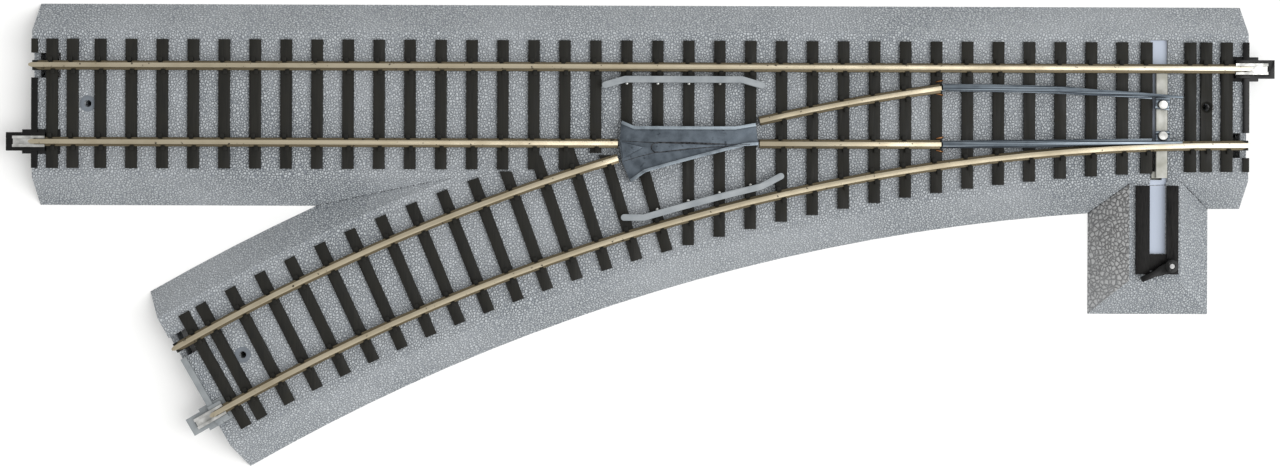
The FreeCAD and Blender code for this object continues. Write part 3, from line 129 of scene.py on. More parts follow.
def stoneRelief(tree, place, width, look):
    # stones of one width packed side by side with thin joints, and finer grit over them
    drift = addNode(tree, "ShaderNodeTexNoise", {
        "Vector": place, "Scale": perMm(look["driftWidth"] * width), "Detail": 2.0})
    drifted = addNode(tree, "ShaderNodeVectorMath", {
        0: drift.outputs["Color"], "Scale": mm(look["wander"] * width)}, operation="SCALE")
    wandering = addNode(tree, "ShaderNodeVectorMath", {0: place, 1: drifted}, operation="ADD")
    stones = addNode(tree, "ShaderNodeTexVoronoi", {
        "Vector": wandering, "Scale": perMm(width)}, feature="DISTANCE_TO_EDGE")
    grit = addNode(tree, "ShaderNodeTexVoronoi", {
        "Vector": wandering, "Scale": perMm(look["gritWidth"])})
    large = addNode(tree, "ShaderNodeMapRange", {"Value": stones, "From Min": 0.0, "From Max": 0.3})
    small = addNode(tree, "ShaderNodeMapRange", {
        "Value": grit, "From Min": 0.1, "From Max": 0.8, "To Min": 1.0, "To Max": 0.0})
    return addNode(tree, "ShaderNodeMath", {
        0: small, 1: look["gritShare"], 2: large}, operation="MULTIPLY_ADD")


def ballastFinish(name, look):
    # coarser, warmer and, as painted shade, darker on the faces turned to the heel, and smooth in the
    # throwbar's channel
    finish, tree, place = newFinish(name)
    geometry = addNode(tree, "ShaderNodeNewGeometry")
    facing = addNode(tree, "ShaderNodeSeparateXYZ", {"Vector": geometry.outputs["True Normal"]})
    level = addNode(tree, "ShaderNodeSeparateXYZ", {"Vector": place}).outputs["Z"]
    heelFacing = addNode(tree, "ShaderNodeMapRange", {
        "Value": facing.outputs["X"], "From Min": -0.45, "From Max": -0.6})
    flat = addNode(tree, "ShaderNodeMath", {0: facing.outputs["Z"], 1: 0.95}, operation="GREATER_THAN")
    inChannel = addNode(tree, "ShaderNodeMath", {
        0: level, 1: mm(look["channelFloor"]), 2: mm(look["channelBand"])}, operation="COMPARE")
    smooth = addNode(tree, "ShaderNodeMath", {0: flat, 1: inChannel}, operation="MULTIPLY")
    fine = stoneRelief(tree, place, look["stoneWidth"], look)
    coarse = stoneRelief(tree, place, look["coarseStoneWidth"], look)
    stones = addNode(tree, "ShaderNodeMix", {
        "Factor": heelFacing, firstValue: fine, secondValue: coarse})
    height = addNode(tree, "ShaderNodeMix", {"Factor": smooth, firstValue: stones, secondValue: 0.5})
    lit = addNode(tree, "ShaderNodeMapRange", {"Value": height, "From Min": 0.15, "From Max": 0.85})
    # painted shade: colour runs from the crevice colour in the low joints to the stone colour on the
    # stones' tops
    cool = addNode(tree, "ShaderNodeMix", {
        "Factor": lit, firstColour: look["creviceShade"], secondColour: look["stone"]}, data_type="RGBA")
    # painted shade: the faces turned to the heel get a warmer and darker pair of colours
    shadedWarm = addNode(tree, "ShaderNodeMix", {
        "Factor": lit, firstColour: look["shadedWarmCrevice"], secondColour: look["shadedWarmStone"]},
        data_type="RGBA")
    skin = addNode(tree, "ShaderNodeMix", {
        "Factor": heelFacing, firstColour: cool, secondColour: shadedWarm}, data_type="RGBA")
    patches = addNode(tree, "ShaderNodeTexNoise", {
        "Vector": place, "Scale": perMm(look["patchWidth"]), "Detail": 3.0})
    paler = addNode(tree, "ShaderNodeMapRange", {
        "Value": patches, "From Min": 0.35, "From Max": 0.75, "To Max": 0.55})
    patchy = addNode(tree, "ShaderNodeMix", {
        "Factor": paler, firstColour: skin, secondColour: look["pale"]}, data_type="RGBA")
    colour = addNode(tree, "ShaderNodeMix", {
        "Factor": smooth, firstColour: patchy, secondColour: look["smooth"]}, data_type="RGBA")
    closeFinish(tree, height, look["stoneHeight"], 0.9, {
        "Base Color": colour, "Roughness": look["roughness"], "IOR": look["ior"]})
    return finish


# ties: black ABS, moulded with a faint wood grain along each tie, so nearly matt and a
# little greyer where it is rubbed; the headblock's bars have a deeper and shorter grain
tieStyrene = {
    "face": "#131310", "worn": "#1f1e19", "grainWidth": 0.35, "grainLength": 7.0,
    "grainHeight": 0.05, "rubbedWidth": 6.0, "roughnessLow": 0.5, "roughnessHigh": 0.72,
    "ior": 1.54, "sheen": 0.2,
}
headblockStyrene = {
    "face": "#060607", "worn": "#1f1e1d", "grainWidth": 0.3, "grainLength": 2.6,
    "grainHeight": 0.14, "rubbedWidth": 6.0, "roughnessLow": 0.4, "roughnessHigh": 0.6,
    "ior": 1.54, "sheen": 0.1,
}


def tieFinish(name, look):
    finish, tree, place = newFinish(name)
    stretched = addNode(tree, "ShaderNodeMapping", {
        "Vector": place, "Scale": (1.0, look["grainWidth"] / look["grainLength"], 1.0)})
    grain = addNode(tree, "ShaderNodeTexNoise", {
        "Vector": stretched, "Scale": perMm(look["grainWidth"]), "Detail": 2.0})
    rubbed = addNode(tree, "ShaderNodeTexNoise", {
        "Vector": place, "Scale": perMm(look["rubbedWidth"]), "Detail": 3.0})
    greyer = addNode(tree, "ShaderNodeMapRange", {"Value": rubbed, "From Min": 0.4, "From Max": 0.75})
    face = addNode(tree, "ShaderNodeMix", {
        "Factor": greyer, firstColour: look["face"], secondColour: look["worn"]}, data_type="RGBA")
    streaks = addNode(tree, "ShaderNodeMapRange", {
        "Value": grain, "From Min": 0.4, "From Max": 0.65, "To Max": 0.7})
    colour = addNode(tree, "ShaderNodeMix", {
        "Factor": streaks, firstColour: face, secondColour: look["worn"]}, data_type="RGBA")
    rough = addNode(tree, "ShaderNodeMapRange", {
        "Value": rubbed, "From Min": 0.3, "From Max": 0.7,
        "To Min": look["roughnessLow"], "To Max": look["roughnessHigh"]})
    closeFinish(tree, grain, look["grainHeight"], 0.8, {
        "Base Color": colour, "Roughness": rough, "IOR": look["ior"],
        "Specular IOR Level": look["sheen"]})
    return finish


# rails: nickel silver, drawn through a die, so a warm pale metal with fine lines; a painted
# highlight brightens them towards the toe and painted shade darkens them low on the web, with specks of
# soot
nickelSilver = {
    "head": "#b9af99", "tarnish": "#8f846d", "web": "#665d4b", "soot": "#2a2622",
    "toeGlare": "#d4cdbd", "toeGlareFrom": -40.0, "toeGlareTo": -12.0,
    "webTop": 11.9, "headFloor": 13.2, "hazeWidth": 9.0, "spotWidth": 1.3, "drawnWidth": 0.12,
    "drawnHeight": 0.015, "roughnessLow": 0.3, "roughnessHigh": 0.5,
}


def railFinish(name, look):
    finish, tree, place = newFinish(name)
    along = addNode(tree, "ShaderNodeSeparateXYZ", {"Vector": place})
    upper = addNode(tree, "ShaderNodeMapRange", {
        "Value": along.outputs["Z"], "From Min": mm(look["webTop"]), "From Max": mm(look["headFloor"])})
    haze = addNode(tree, "ShaderNodeTexNoise", {
        "Vector": place, "Scale": perMm(look["hazeWidth"]), "Detail": 3.0})
    dull = addNode(tree, "ShaderNodeMapRange", {
        "Value": haze, "From Min": 0.35, "From Max": 0.7, "To Max": 0.5})
    dulled = addNode(tree, "ShaderNodeMix", {
        "Factor": dull, firstColour: look["head"], secondColour: look["tarnish"]}, data_type="RGBA")
    # painted highlight: the rails turn brighter towards the toe
    toeGlareRamp = addNode(tree, "ShaderNodeMapRange", {
        "Value": along.outputs["X"], "From Min": mm(look["toeGlareFrom"]), "From Max": mm(look["toeGlareTo"])})
    toeGlared = addNode(tree, "ShaderNodeMix", {
        "Factor": toeGlareRamp, firstColour: dulled, secondColour: look["toeGlare"]}, data_type="RGBA")
    # painted shade: the web colour darkens the rail below the head
    bar = addNode(tree, "ShaderNodeMix", {
        "Factor": upper, firstColour: look["web"], secondColour: toeGlared}, data_type="RGBA")
    spots = addNode(tree, "ShaderNodeTexNoise", {
        "Vector": place, "Scale": perMm(look["spotWidth"]), "Detail": 4.0})
    sooty = addNode(tree, "ShaderNodeMapRange", {"Value": spots, "From Min": 0.66, "From Max": 0.72})
    colour = addNode(tree, "ShaderNodeMix", {
        "Factor": sooty, firstColour: bar, secondColour: look["soot"]}, data_type="RGBA")
    drawn = addNode(tree, "ShaderNodeTexNoise", {
        "Vector": place, "Scale": perMm(look["drawnWidth"]), "Detail": 2.0})
    rough = addNode(tree, "ShaderNodeMapRange", {
        "Value": haze, "From Min": 0.3, "From Max": 0.7,
        "To Min": look["roughnessLow"], "To Max": look["roughnessHigh"]})
    closeFinish(tree, drawn, look["drawnHeight"], 0.5, {
        "Base Color": colour, "Roughness": rough, "Metallic": 1.0})
    return finish


# frog and point blades: zinc, die cast and chemically darkened, so a mottled blue grey that is
# rubbed bright where wheels touch it, with painted shade in the stain colour in its corners; the blades
# show long scrapes
zincCasting = {
    "skin": "#4a5158", "bloom": "#626a72", "stain": "#262a2f", "rubbed": "#8b949b",
    "rubbedFrom": 13.75, "rubbedTo": 13.95, "mottleWidth": 3.2, "stainWidth": 1.7,
    "grainWidth": 0.3, "cornerShadeReach": 1.1, "cornerShadeSamples": 8,
    "scrape": "#9aa4ac", "scrapeWidth": 0.32, "scrapeLength": 40.0, "scraped": 0.0,
    "grainHeight": 0.06, "roughnessLow": 0.38, "roughnessHigh": 0.58,
}
bladeCasting = {
    **zincCasting, "skin": "#434a51", "bloom": "#5b636b", "rubbed": "#656e76", "scraped": 0.85,
}


def zincFinish(name, look):
    finish, tree, place = newFinish(name)
    level = addNode(tree, "ShaderNodeSeparateXYZ", {"Vector": place}).outputs["Z"]
    mottle = addNode(tree, "ShaderNodeTexNoise", {
        "Vector": place, "Scale": perMm(look["mottleWidth"]), "Detail": 5.0})
    bloom = addNode(tree, "ShaderNodeMapRange", {"Value": mottle, "From Min": 0.35, "From Max": 0.68})
    skin = addNode(tree, "ShaderNodeMix", {
        "Factor": bloom, firstColour: look["skin"], secondColour: look["bloom"]}, data_type="RGBA")
    stains = addNode(tree, "ShaderNodeTexNoise", {
        "Vector": place, "Scale": perMm(look["stainWidth"]), "Detail": 4.0})
    stain = addNode(tree, "ShaderNodeMapRange", {"Value": stains, "From Min": 0.62, "From Max": 0.78})
    stained = addNode(tree, "ShaderNodeMix", {
        "Factor": stain, firstColour: skin, secondColour: look["stain"]}, data_type="RGBA")
    top = addNode(tree, "ShaderNodeMapRange", {
        "Value": level, "From Min": mm(look["rubbedFrom"]), "From Max": mm(look["rubbedTo"])})
    uneven = addNode(tree, "ShaderNodeMapRange", {
        "Value": mottle, "From Min": 0.3, "From Max": 0.6, "To Min": 0.35, "To Max": 0.95})
    worn = addNode(tree, "ShaderNodeMath", {0: top, 1: uneven}, operation="MULTIPLY")
    shown = addNode(tree, "ShaderNodeMix", {
        "Factor": worn, firstColour: stained, secondColour: look["rubbed"]}, data_type="RGBA")
    lengthwise = addNode(tree, "ShaderNodeMapping", {
        "Vector": place, "Scale": (look["scrapeWidth"] / look["scrapeLength"], 1.0, 1.0)})
    scrapes = addNode(tree, "ShaderNodeTexNoise", {
        "Vector": lengthwise, "Scale": perMm(look["scrapeWidth"]), "Detail": 2.0})
    bright = addNode(tree, "ShaderNodeMapRange", {
        "Value": scrapes, "From Min": 0.5, "From Max": 0.66, "To Max": look["scraped"]})
    scraped = addNode(tree, "ShaderNodeMix", {
        "Factor": bright, firstColour: shown, secondColour: look["scrape"]}, data_type="RGBA")
    dark = addNode(tree, "ShaderNodeMapRange", {
        "Value": scrapes, "From Min": 0.45, "From Max": 0.33, "To Max": look["scraped"]})
    lined = addNode(tree, "ShaderNodeMix", {
        "Factor": dark, firstColour: scraped, secondColour: look["stain"]}, data_type="RGBA")
    # painted shade: the stain colour darkens the corners, as far as the occlusion reaches
    corners = addNode(tree, "ShaderNodeAmbientOcclusion", {
        "Distance": mm(look["cornerShadeReach"])}, samples=look["cornerShadeSamples"])
    clear = addNode(tree, "ShaderNodeMapRange", {
        "Value": corners.outputs["AO"], "From Min": 0.35, "From Max": 0.8})
    colour = addNode(tree, "ShaderNodeMix", {
        "Factor": clear, firstColour: look["stain"], secondColour: lined}, data_type="RGBA")
    grain = addNode(tree, "ShaderNodeTexNoise", {
        "Vector": place, "Scale": perMm(look["grainWidth"]), "Detail": 3.0})
    rough = addNode(tree, "ShaderNodeMapRange", {
        "Value": mottle, "From Min": 0.3, "From Max": 0.7,
        "To Min": look["roughnessLow"], "To Max": look["roughnessHigh"]})
    closeFinish(tree, grain, look["grainHeight"], 0.7, {
        "Base Color": colour, "Roughness": rough, "Metallic": 1.0})
    return finish


# small mouldings: acetal and ABS from polished tools, so smooth and slightly clouded;
# each has its face colour, its duller patches, its roughness and a grain in mm
plainPlastics = {
    "guardRail": {"face": "#92979a", "dull": "#80868a", "rough": (0.38, 0.6), "grain": 0.5,
                  "height": 0.03, "sheen": 0.5},
    "throwbar": {"face": "#b9b9b3", "dull": "#96968c", "rough": (0.45, 0.65), "grain": 0.4,
                 "height": 0.05, "sheen": 0.5},
    "lever": {"face": "#060606", "dull": "#0e0e0e", "rough": (0.22, 0.36), "grain": 0.8,
              "height": 0.02, "sheen": 0.22},
    "clip": {"face": "#8d9294", "dull": "#7c8184", "rough": (0.4, 0.6), "grain": 0.5,
             "height": 0.03, "sheen": 0.5},
    "dish": {"face": "#6b7279", "dull": "#575d65", "rough": (0.4, 0.5), "grain": 0.6,
             "height": 0.01, "sheen": 0.5},
}
plasticHaze = {"width": 4.0, "ior": 1.5}


def plasticFinish(name, look):
    finish, tree, place = newFinish(name)
    haze = addNode(tree, "ShaderNodeTexNoise", {
        "Vector": place, "Scale": perMm(plasticHaze["width"]), "Detail": 3.0})
    grain = addNode(tree, "ShaderNodeTexNoise", {
        "Vector": place, "Scale": perMm(look["grain"]), "Detail": 2.0})
    dull = addNode(tree, "ShaderNodeMapRange", {"Value": haze, "From Min": 0.35, "From Max": 0.7})
    colour = addNode(tree, "ShaderNodeMix", {
        "Factor": dull, firstColour: look["face"], secondColour: look["dull"]}, data_type="RGBA")
    smoothest, roughest = look["rough"]
    rough = addNode(tree, "ShaderNodeMapRange", {
        "Value": haze, "From Min": 0.3, "From Max": 0.7, "To Min": smoothest, "To Max": roughest})
    closeFinish(tree, grain, look["height"], 0.8, {
        "Base Color": colour, "Roughness": rough, "IOR": plasticHaze["ior"],
        "Specular IOR Level": look["sheen"]})
    return finish


# small metal parts: plated steel and spring steel, rolled or turned, and phosphor bronze strip,
# so bright with a soft sheen; the second colour is where handling or heat has dulled it
plainMetals = {
    "steel": {"face": "#d2d2cf", "dull": "#979794", "rough": (0.32, 0.48), "grain": 0.25},
    "pin": {"face": "#a8a8a6", "dull": "#77777a", "rough": (0.4, 0.55), "grain": 0.25},
    "spring": {"face": "#a5a8aa", "dull": "#7b7f84", "rough": (0.25, 0.4), "grain": 0.25},
    "bronze": {"face": "#c58f63", "dull": "#8d6038", "rough": (0.25, 0.42), "grain": 0.25},
}
metalHaze = {"width": 2.5, "grainHeight": 0.01}


def metalFinish(name, look):
    finish, tree, place = newFinish(name)
    haze = addNode(tree, "ShaderNodeTexNoise", {
        "Vector": place, "Scale": perMm(metalHaze["width"]), "Detail": 4.0})
    grain = addNode(tree, "ShaderNodeTexNoise", {
        "Vector": place, "Scale": perMm(look["grain"]), "Detail": 3.0})
    dull = addNode(tree, "ShaderNodeMapRange", {"Value": haze, "From Min": 0.35, "From Max": 0.7})
    colour = addNode(tree, "ShaderNodeMix", {
        "Factor": dull, firstColour: look["face"], secondColour: look["dull"]}, data_type="RGBA")
    smoothest, roughest = look["rough"]
    rough = addNode(tree, "ShaderNodeMapRange", {
        "Value": haze, "From Min": 0.3, "From Max": 0.7, "To Min": smoothest, "To Max": roughest})
    closeFinish(tree, grain, metalHaze["grainHeight"], 0.6, {
        "Base Color": colour, "Roughness": rough, "Metallic": 1.0})
    return finish


# each finish goes by the name of the record's material slot that it stands for
finishes = {
    "ballast_grey": ballastFinish("mouldedBallastAbs", ballastPlastic),
    "tie_black": tieFinish("mouldedTieStyrene", tieStyrene),
    "nickel_silver": railFinish("drawnNickelSilver", nickelSilver),
    "zinc_cast": zincFinish("darkenedZincCasting", zincCasting),
    "light_grey_plastic": plasticFinish("mouldedGuardAcetal", plainPlastics["guardRail"]),
    "ivory_plastic": plasticFinish("mouldedIvoryAcetal", plainPlastics["throwbar"]),
    "black_plastic": plasticFinish("polishedBlackAbs", plainPlastics["lever"]),
    "clip_grey": plasticFinish("mouldedClipNylon", plainPlastics["clip"]),
    "bright_steel": metalFinish("platedSteel", plainMetals["steel"]),
    "spring_steel": metalFinish("springSteel", plainMetals["spring"]),
    "phosphor_bronze": metalFinish("phosphorBronze", plainMetals["bronze"]),
}
bladeFinish = zincFinish("blackenedBladeZinc", bladeCasting)
ownFinish = {
    # the same plastics and metals where a single piece of them looks different
    "headblock_frame": tieFinish("mouldedHeadblockStyrene", headblockStyrene),
    "straight_point_blade": bladeFinish,
    "curved_point_blade": bladeFinish,
    "lever_pivot_pin": metalFinish("turnedPinSteel", plainMetals["pin"]),
}
slotOf = {row["node"]: row["material_slot"] for row in frame["record"]["subparts"]}
bodyOf = {node: piece["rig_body"] for node, piece in frame["nodes"].items()}


def finishOf(node):
    return ownFinish.get(node, finishes[slotOf[node]])


for node, piece in frame["nodes"].items():
    piece.data.materials.clear()
    piece.data.materials.append(finishOf(node))
print("finishes:", len(finishes))


# mouldings and metal with their edges eased, each standing for its sharp-edged CAD piece
easedPieces = {
    # CAD node: (name of the eased piece, edge radius in mm)
    "roadbed": ("roadbedMoulding", 0.45),
    "throw_housing": ("leverHousing", 0.4),
    "heel_ties": ("heelTies", 0.14),
    "turnout_ties": ("turnoutTies", 0.14),
    "toe_ties": ("toeTies", 0.14),
    "branch_ties": ("branchTies", 0.14),
    "headblock_frame": ("headblockBars", 0.16),
    "straight_guard_rail": ("straightGuard", 0.3),
    "curved_guard_rail": ("curvedGuard", 0.3),
    "frog_casting": ("frog", 0.22),
    "straight_point_blade": ("straightBlade", 0.16),
    "curved_point_blade": ("curvedBlade", 0.16),
    "throwbar": ("throwbarSlide", 0.15),
    "throw_lever": ("throwLever", 0.3),
    "toe_end_clip": ("toeClip", 0.16),
    "heel_end_clip": ("heelClip", 0.16),
    "branch_end_clip": ("branchClip", 0.16),
    "straight_stock_rail": ("straightStockRail", 0.13),
    "curved_stock_rail": ("curvedStockRail", 0.13),
    "straight_closure_rail": ("straightClosureRail", 0.13),
    "curved_closure_rail": ("curvedClosureRail", 0.13),
    "straight_heel_rail": ("straightHeelRail", 0.13),
    "branch_heel_rail": ("branchHeelRail", 0.13),
}
easing = {"weld": 0.002, "flat": 0.6, "from": 28.0, "shadeFrom": 38.0, "segments": 2}


def showPiece(piece, node):
    piece.data.materials.clear()
    piece.data.materials.append(finishOf(node))
    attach(piece, bodyOf[node])
    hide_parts(node)


def eased(node, name, radius):
    mesh = frame["nodes"][node].data.copy()
    mesh.name = name
    work = bmesh.new()
    work.from_mesh(mesh)
    bmesh.ops.remove_doubles(work, verts=work.verts, dist=mm(easing["weld"]))
    bmesh.ops.dissolve_limit(work, angle_limit=math.radians(easing["flat"]),
                             verts=work.verts, edges=work.edges)
    work.to_mesh(mesh)
    work.free()
    piece = bpy.data.objects.new(name, mesh)
    bpy.context.scene.collection.objects.link(piece)
    rounding = piece.modifiers.new("rounding", "BEVEL")
    rounding.width = mm(radius)
    rounding.segments = easing["segments"]
    rounding.angle_limit = math.radians(easing["from"])
    rounding.limit_method = "ANGLE"
    rounding.use_clamp_overlap = True
    piece.data = bpy.data.meshes.new_from_object(
        piece.evaluated_get(bpy.context.evaluated_depsgraph_get()))
    piece.modifiers.clear()
    piece.data.shade_smooth()
    piece.data.set_sharp_from_angle(angle=math.radians(easing["shadeFrom"]))
    showPiece(piece, node)
    return piece


for node, (name, radius) in easedPieces.items():
    eased(node, name, radius)
print("eased pieces:", len(easedPieces))


# rivet heads, pin heads and dishes, each a profile spun round its own axis
def spun(name, profile, centre, steps=32):
    # profile: (radius, height) pairs from the lower end to the upper one, in metres
    work = bmesh.new()
    rings = []
    for reach, height in profile:
        if reach == 0:
            rings.append([work.verts.new((centre.x, centre.y, height))])
            continue
        turns = [2 * math.pi * step / steps for step in range(steps)]
        rings.append([work.verts.new((centre.x + reach * math.cos(turn),
                                      centre.y + reach * math.sin(turn), height)) for turn in turns])
    for low, high in zip(rings, rings[1:]):
        for step in range(steps):
            after = (step + 1) % steps
            if len(low) == 1:
                work.faces.new((low[0], high[after], high[step]))
            elif len(high) == 1:
                work.faces.new((low[step], low[after], high[0]))
            else:
                work.faces.new((low[step], low[after], high[after], high[step]))
    mesh = bpy.data.meshes.new(name)
    bmesh.ops.recalc_face_normals(work, faces=work.faces)
    work.to_mesh(mesh)
    work.free()
    mesh.shade_smooth()
    mesh.set_sharp_from_angle(angle=math.radians(easing["shadeFrom"]))
    piece = bpy.data.objects.new(name, mesh)
    bpy.context.scene.collection.objects.link(piece)
    return piece


rivetForm = {"shank": 0.7, "headDepth": 0.8, "rim": 0.3, "rimSteps": 5, "crown": 0.08}


def domedRivet(node, name):
    low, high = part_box(node)
    centre = (low + high) / 2
    head = (high.x - low.x) / 2
    shank = mm(rivetForm["shank"])
    base = high.z - mm(rivetForm["headDepth"])
    rim = mm(rivetForm["rim"])
    crown = mm(rivetForm["crown"])
    profile = [(0, low.z), (shank, low.z), (shank, base), (head - rim / 3, base), (head, base + rim / 3)]
    shoulder = high.z - crown - rim
    for step in range(rivetForm["rimSteps"] + 1):
        turn = math.pi / 2 * step / rivetForm["rimSteps"]
        profile.append((head - rim + rim * math.cos(turn), shoulder + rim * math.sin(turn)))
    profile.append(((head - rim) / 2, high.z - crown / 4))
    profile.append((0, high.z))
    piece = spun(name, profile, centre)
    showPiece(piece, node)


domedRivet("straight_blade_rivet", "straightBladeRivet")
domedRivet("curved_blade_rivet", "curvedBladeRivet")
print("rivets: 2")


guardGlint = {
    "radius": 0.48, "rise": 0.3, "sink": 0.05, "studTop": 12.1, "level": 0.02, "reach": 1.4,
    "domeSteps": 6, "sides": 20,
}


def guardGlintHeads(node, name):
    # bright steel heads, one on each of a guard rail's moulded studs: a painted highlight for the glints
    # along its edge
    spots = []
    for vertex in frame["nodes"][node].data.vertices:
        if abs(vertex.co.z - mm(guardGlint["studTop"])) > mm(guardGlint["level"]):
            continue
        near = [spot for spot in spots if (spot[0] - vertex.co).length < mm(guardGlint["reach"])]
        if near:
            near[0].append(vertex.co.copy())
        else:
            spots.append([vertex.co.copy()])
    for number, spot in enumerate(sorted(spots, key=lambda group: group[0].x), start=1):
        centre = sum(spot, Vector()) / len(spot)
        base = mm(guardGlint["studTop"]) - mm(guardGlint["sink"])
        reach = mm(guardGlint["radius"])
        profile = [(0, base)]
        for step in range(guardGlint["domeSteps"]):
            turn = math.pi / 2 * step / guardGlint["domeSteps"]
            profile.append((reach * math.cos(turn), base + mm(guardGlint["rise"]) * math.sin(turn)))
        profile.append((0, base + mm(guardGlint["rise"])))
        # painted highlight: a bright head standing for a glint on the guard rail
        pin = spun(f"{name}{number}", profile, centre, guardGlint["sides"])
        pin.data.materials.append(finishes["bright_steel"])
        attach(pin, bodyOf[node])
    return len(spots)


glintCount = guardGlintHeads("straight_guard_rail", "straightGuardGlint")
glintCount += guardGlintHeads("curved_guard_rail", "curvedGuardGlint")
print("guard pins:", glintCount)


# the smooth moulded dish round each fixing hole that opens in the ballast
dishForm = {
    "hole": 1.12, "reach": 2.5, "lip": 0.12, "lipWidth": 0.25, "sink": 0.2, "dip": 0.06,
    "top": 9.7, "sides": 40,
}
dishFinish = plasticFinish("smoothDishAbs", plainPlastics["dish"])
fixings = {mount["name"]: mount for mount in frame["record"]["mounts"]}
pair = fixings["main_fixing_holes"]
heelHole = Vector(pair["pos_m"]) - Vector((mm(pair["dims"]["spacing_x_mm"]) / 2, 0, 0))
branchHole = Vector(fixings["branch_fixing_hole"]["pos_m"])
for label, centre in (("heelHoleDish", heelHole), ("branchHoleDish", branchHole)):
    level = mm(dishForm["top"])
    inner = mm(dishForm["hole"])
    outer = mm(dishForm["reach"])
    base = level - mm(dishForm["sink"])
    lip = level + mm(dishForm["lip"])
    ring = [(inner, base), (outer, base), (outer, lip), (outer - mm(dishForm["lipWidth"]), lip),
            (inner, level + mm(dishForm["dip"])), (inner, base)]
    dish = spun(label, ring, centre, dishForm["sides"])
    dish.data.materials.append(dishFinish)
    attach(dish, bodyOf["roadbed"])
print("hole dishes: 2")


# bronze wipers that carry the current across the heel of each blade
wiperForm = {
    "length": 2.4, "thick": 0.5, "rise": 1.3, "aside": 2.05, "above": 9.75, "behind": 0.5,
    "heel": 1.0, "splay": 14.0, "edge": 0.08,
}


def heelWiper(name, blade, side):
    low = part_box(blade)[0]
    vertices = frame["nodes"][blade].data.vertices
    heel = [vertex.co for vertex in vertices if vertex.co.x < low.x + mm(wiperForm["heel"])]
    middle = (min(spot.y for spot in heel) + max(spot.y for spot in heel)) / 2
    across = middle + side * mm(wiperForm["aside"])
    work = bmesh.new()
    bmesh.ops.create_cube(work, size=1.0)
    height = mm(wiperForm["above"] + wiperForm["rise"] / 2)
    work.transform(Matrix.LocRotScale(
        Vector((low.x - mm(wiperForm["behind"]), across, height)),
        Euler((0, 0, side * math.radians(wiperForm["splay"]))),
        Vector([mm(wiperForm[key]) for key in ("length", "thick", "rise")])))
    bmesh.ops.bevel(work, geom=work.edges, offset=mm(wiperForm["edge"]), segments=2, affect="EDGES")
    mesh = bpy.data.meshes.new(name)
    work.to_mesh(mesh)
    work.free()
    mesh.shade_smooth()
    mesh.materials.append(finishes["phosphor_bronze"])
    piece = bpy.data.objects.new(name, mesh)
    bpy.context.scene.collection.objects.link(piece)
    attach(piece, bodyOf["roadbed"])


wipedBlades = (
    ("straightHeelWiper", "straight_point_blade"),
    ("curvedHeelWiper", "curved_point_blade"),
)
for label, blade in wipedBlades:
    heelWiper(f"{label}Upper", blade, 1)
    heelWiper(f"{label}Lower", blade, -1)
print("heel wipers: 4")


# painted shade along the seams, laid as dark specks: the valley between the routes, and round the lever
# housing
seamShade = {
    "shadeDark": "#1f1f20", "shadeGrey": "#48494c", "shadeMottleWidth": 0.8, "shadeBumpHeight": 0.03, "shadeRough": 0.9,
    "shadeSpecular": 0.1, "speck": 1.1, "gap": 0.2, "halfWidth": 0.36, "varies": 0.16,
    "rise": 0.2, "sink": 0.1, "bend": 12.0, "touch": 0.6, "shortest": 0.5, "slopeLow": 0.3,
    "slopeHigh": 0.97,
}


def seamShadeFinish(name, look):
    # painted shade in a moulding seam, near black, greyer in random patches
    finish, tree, place = newFinish(name)
    shadeMottle = addNode(tree, "ShaderNodeTexNoise", {
        "Vector": place, "Scale": perMm(look["shadeMottleWidth"]), "Detail": 3.0})
    shadeLighter = addNode(tree, "ShaderNodeMapRange", {"Value": shadeMottle, "From Min": 0.35, "From Max": 0.65})
    colour = addNode(tree, "ShaderNodeMix", {
        "Factor": shadeLighter, firstColour: look["shadeDark"], secondColour: look["shadeGrey"]}, data_type="RGBA")
    closeFinish(tree, shadeMottle, look["shadeBumpHeight"], 0.8, {
        "Base Color": colour, "Roughness": look["shadeRough"], "Specular IOR Level": look["shadeSpecular"]})
    return finish


def welded(node):
    work = bmesh.new()
    work.from_mesh(frame["nodes"][node].data)
    bmesh.ops.remove_doubles(work, verts=work.verts, dist=mm(easing["weld"]))
    return work


def sloping(face):
    return seamShade["slopeLow"] < face.normal.z < seamShade["slopeHigh"]


def valleyEdges(work):
    least = math.radians(seamShade["bend"])
    edges = [edge for edge in work.edges if len(edge.link_faces) == 2 and not edge.is_convex]
    return [edge for edge in edges if all(sloping(face) for face in edge.link_faces)
            and edge.calc_face_angle() > least]


def seatedEdges(work, bed):
    def touches(spot):
        return bed.find_nearest(spot)[3] < mm(seamShade["touch"])
    found = []
    for edge in work.edges:
        start, end = (vertex.co for vertex in edge.verts)
        upward = any(sloping(face) for face in edge.link_faces)
        if upward and touches(start) and touches(end) and touches((start + end) / 2):
            found.append(edge)
    return found


def speckAlong(work, start, end, chance):
    # a lozenge of painted shade lying along one short piece of the seam
    along = (end - start).normalized()
    across = along.cross(Vector((0, 0, 1))).normalized()
    half = mm(seamShade["halfWidth"] + seamShade["varies"] * chance.uniform(-1, 1))
    middle = (start + end) / 2
    rim = [start, middle + half * across, end, middle - half * across]
    rim = [work.verts.new(spot) for spot in rim]
    top = work.verts.new(middle + Vector((0, 0, mm(seamShade["rise"]))))
    base = work.verts.new(middle - Vector((0, 0, mm(seamShade["sink"]))))
    for one, other in zip(rim, rim[1:] + rim[:1]):
        work.faces.new((one, other, top))
        work.faces.new((other, one, base))


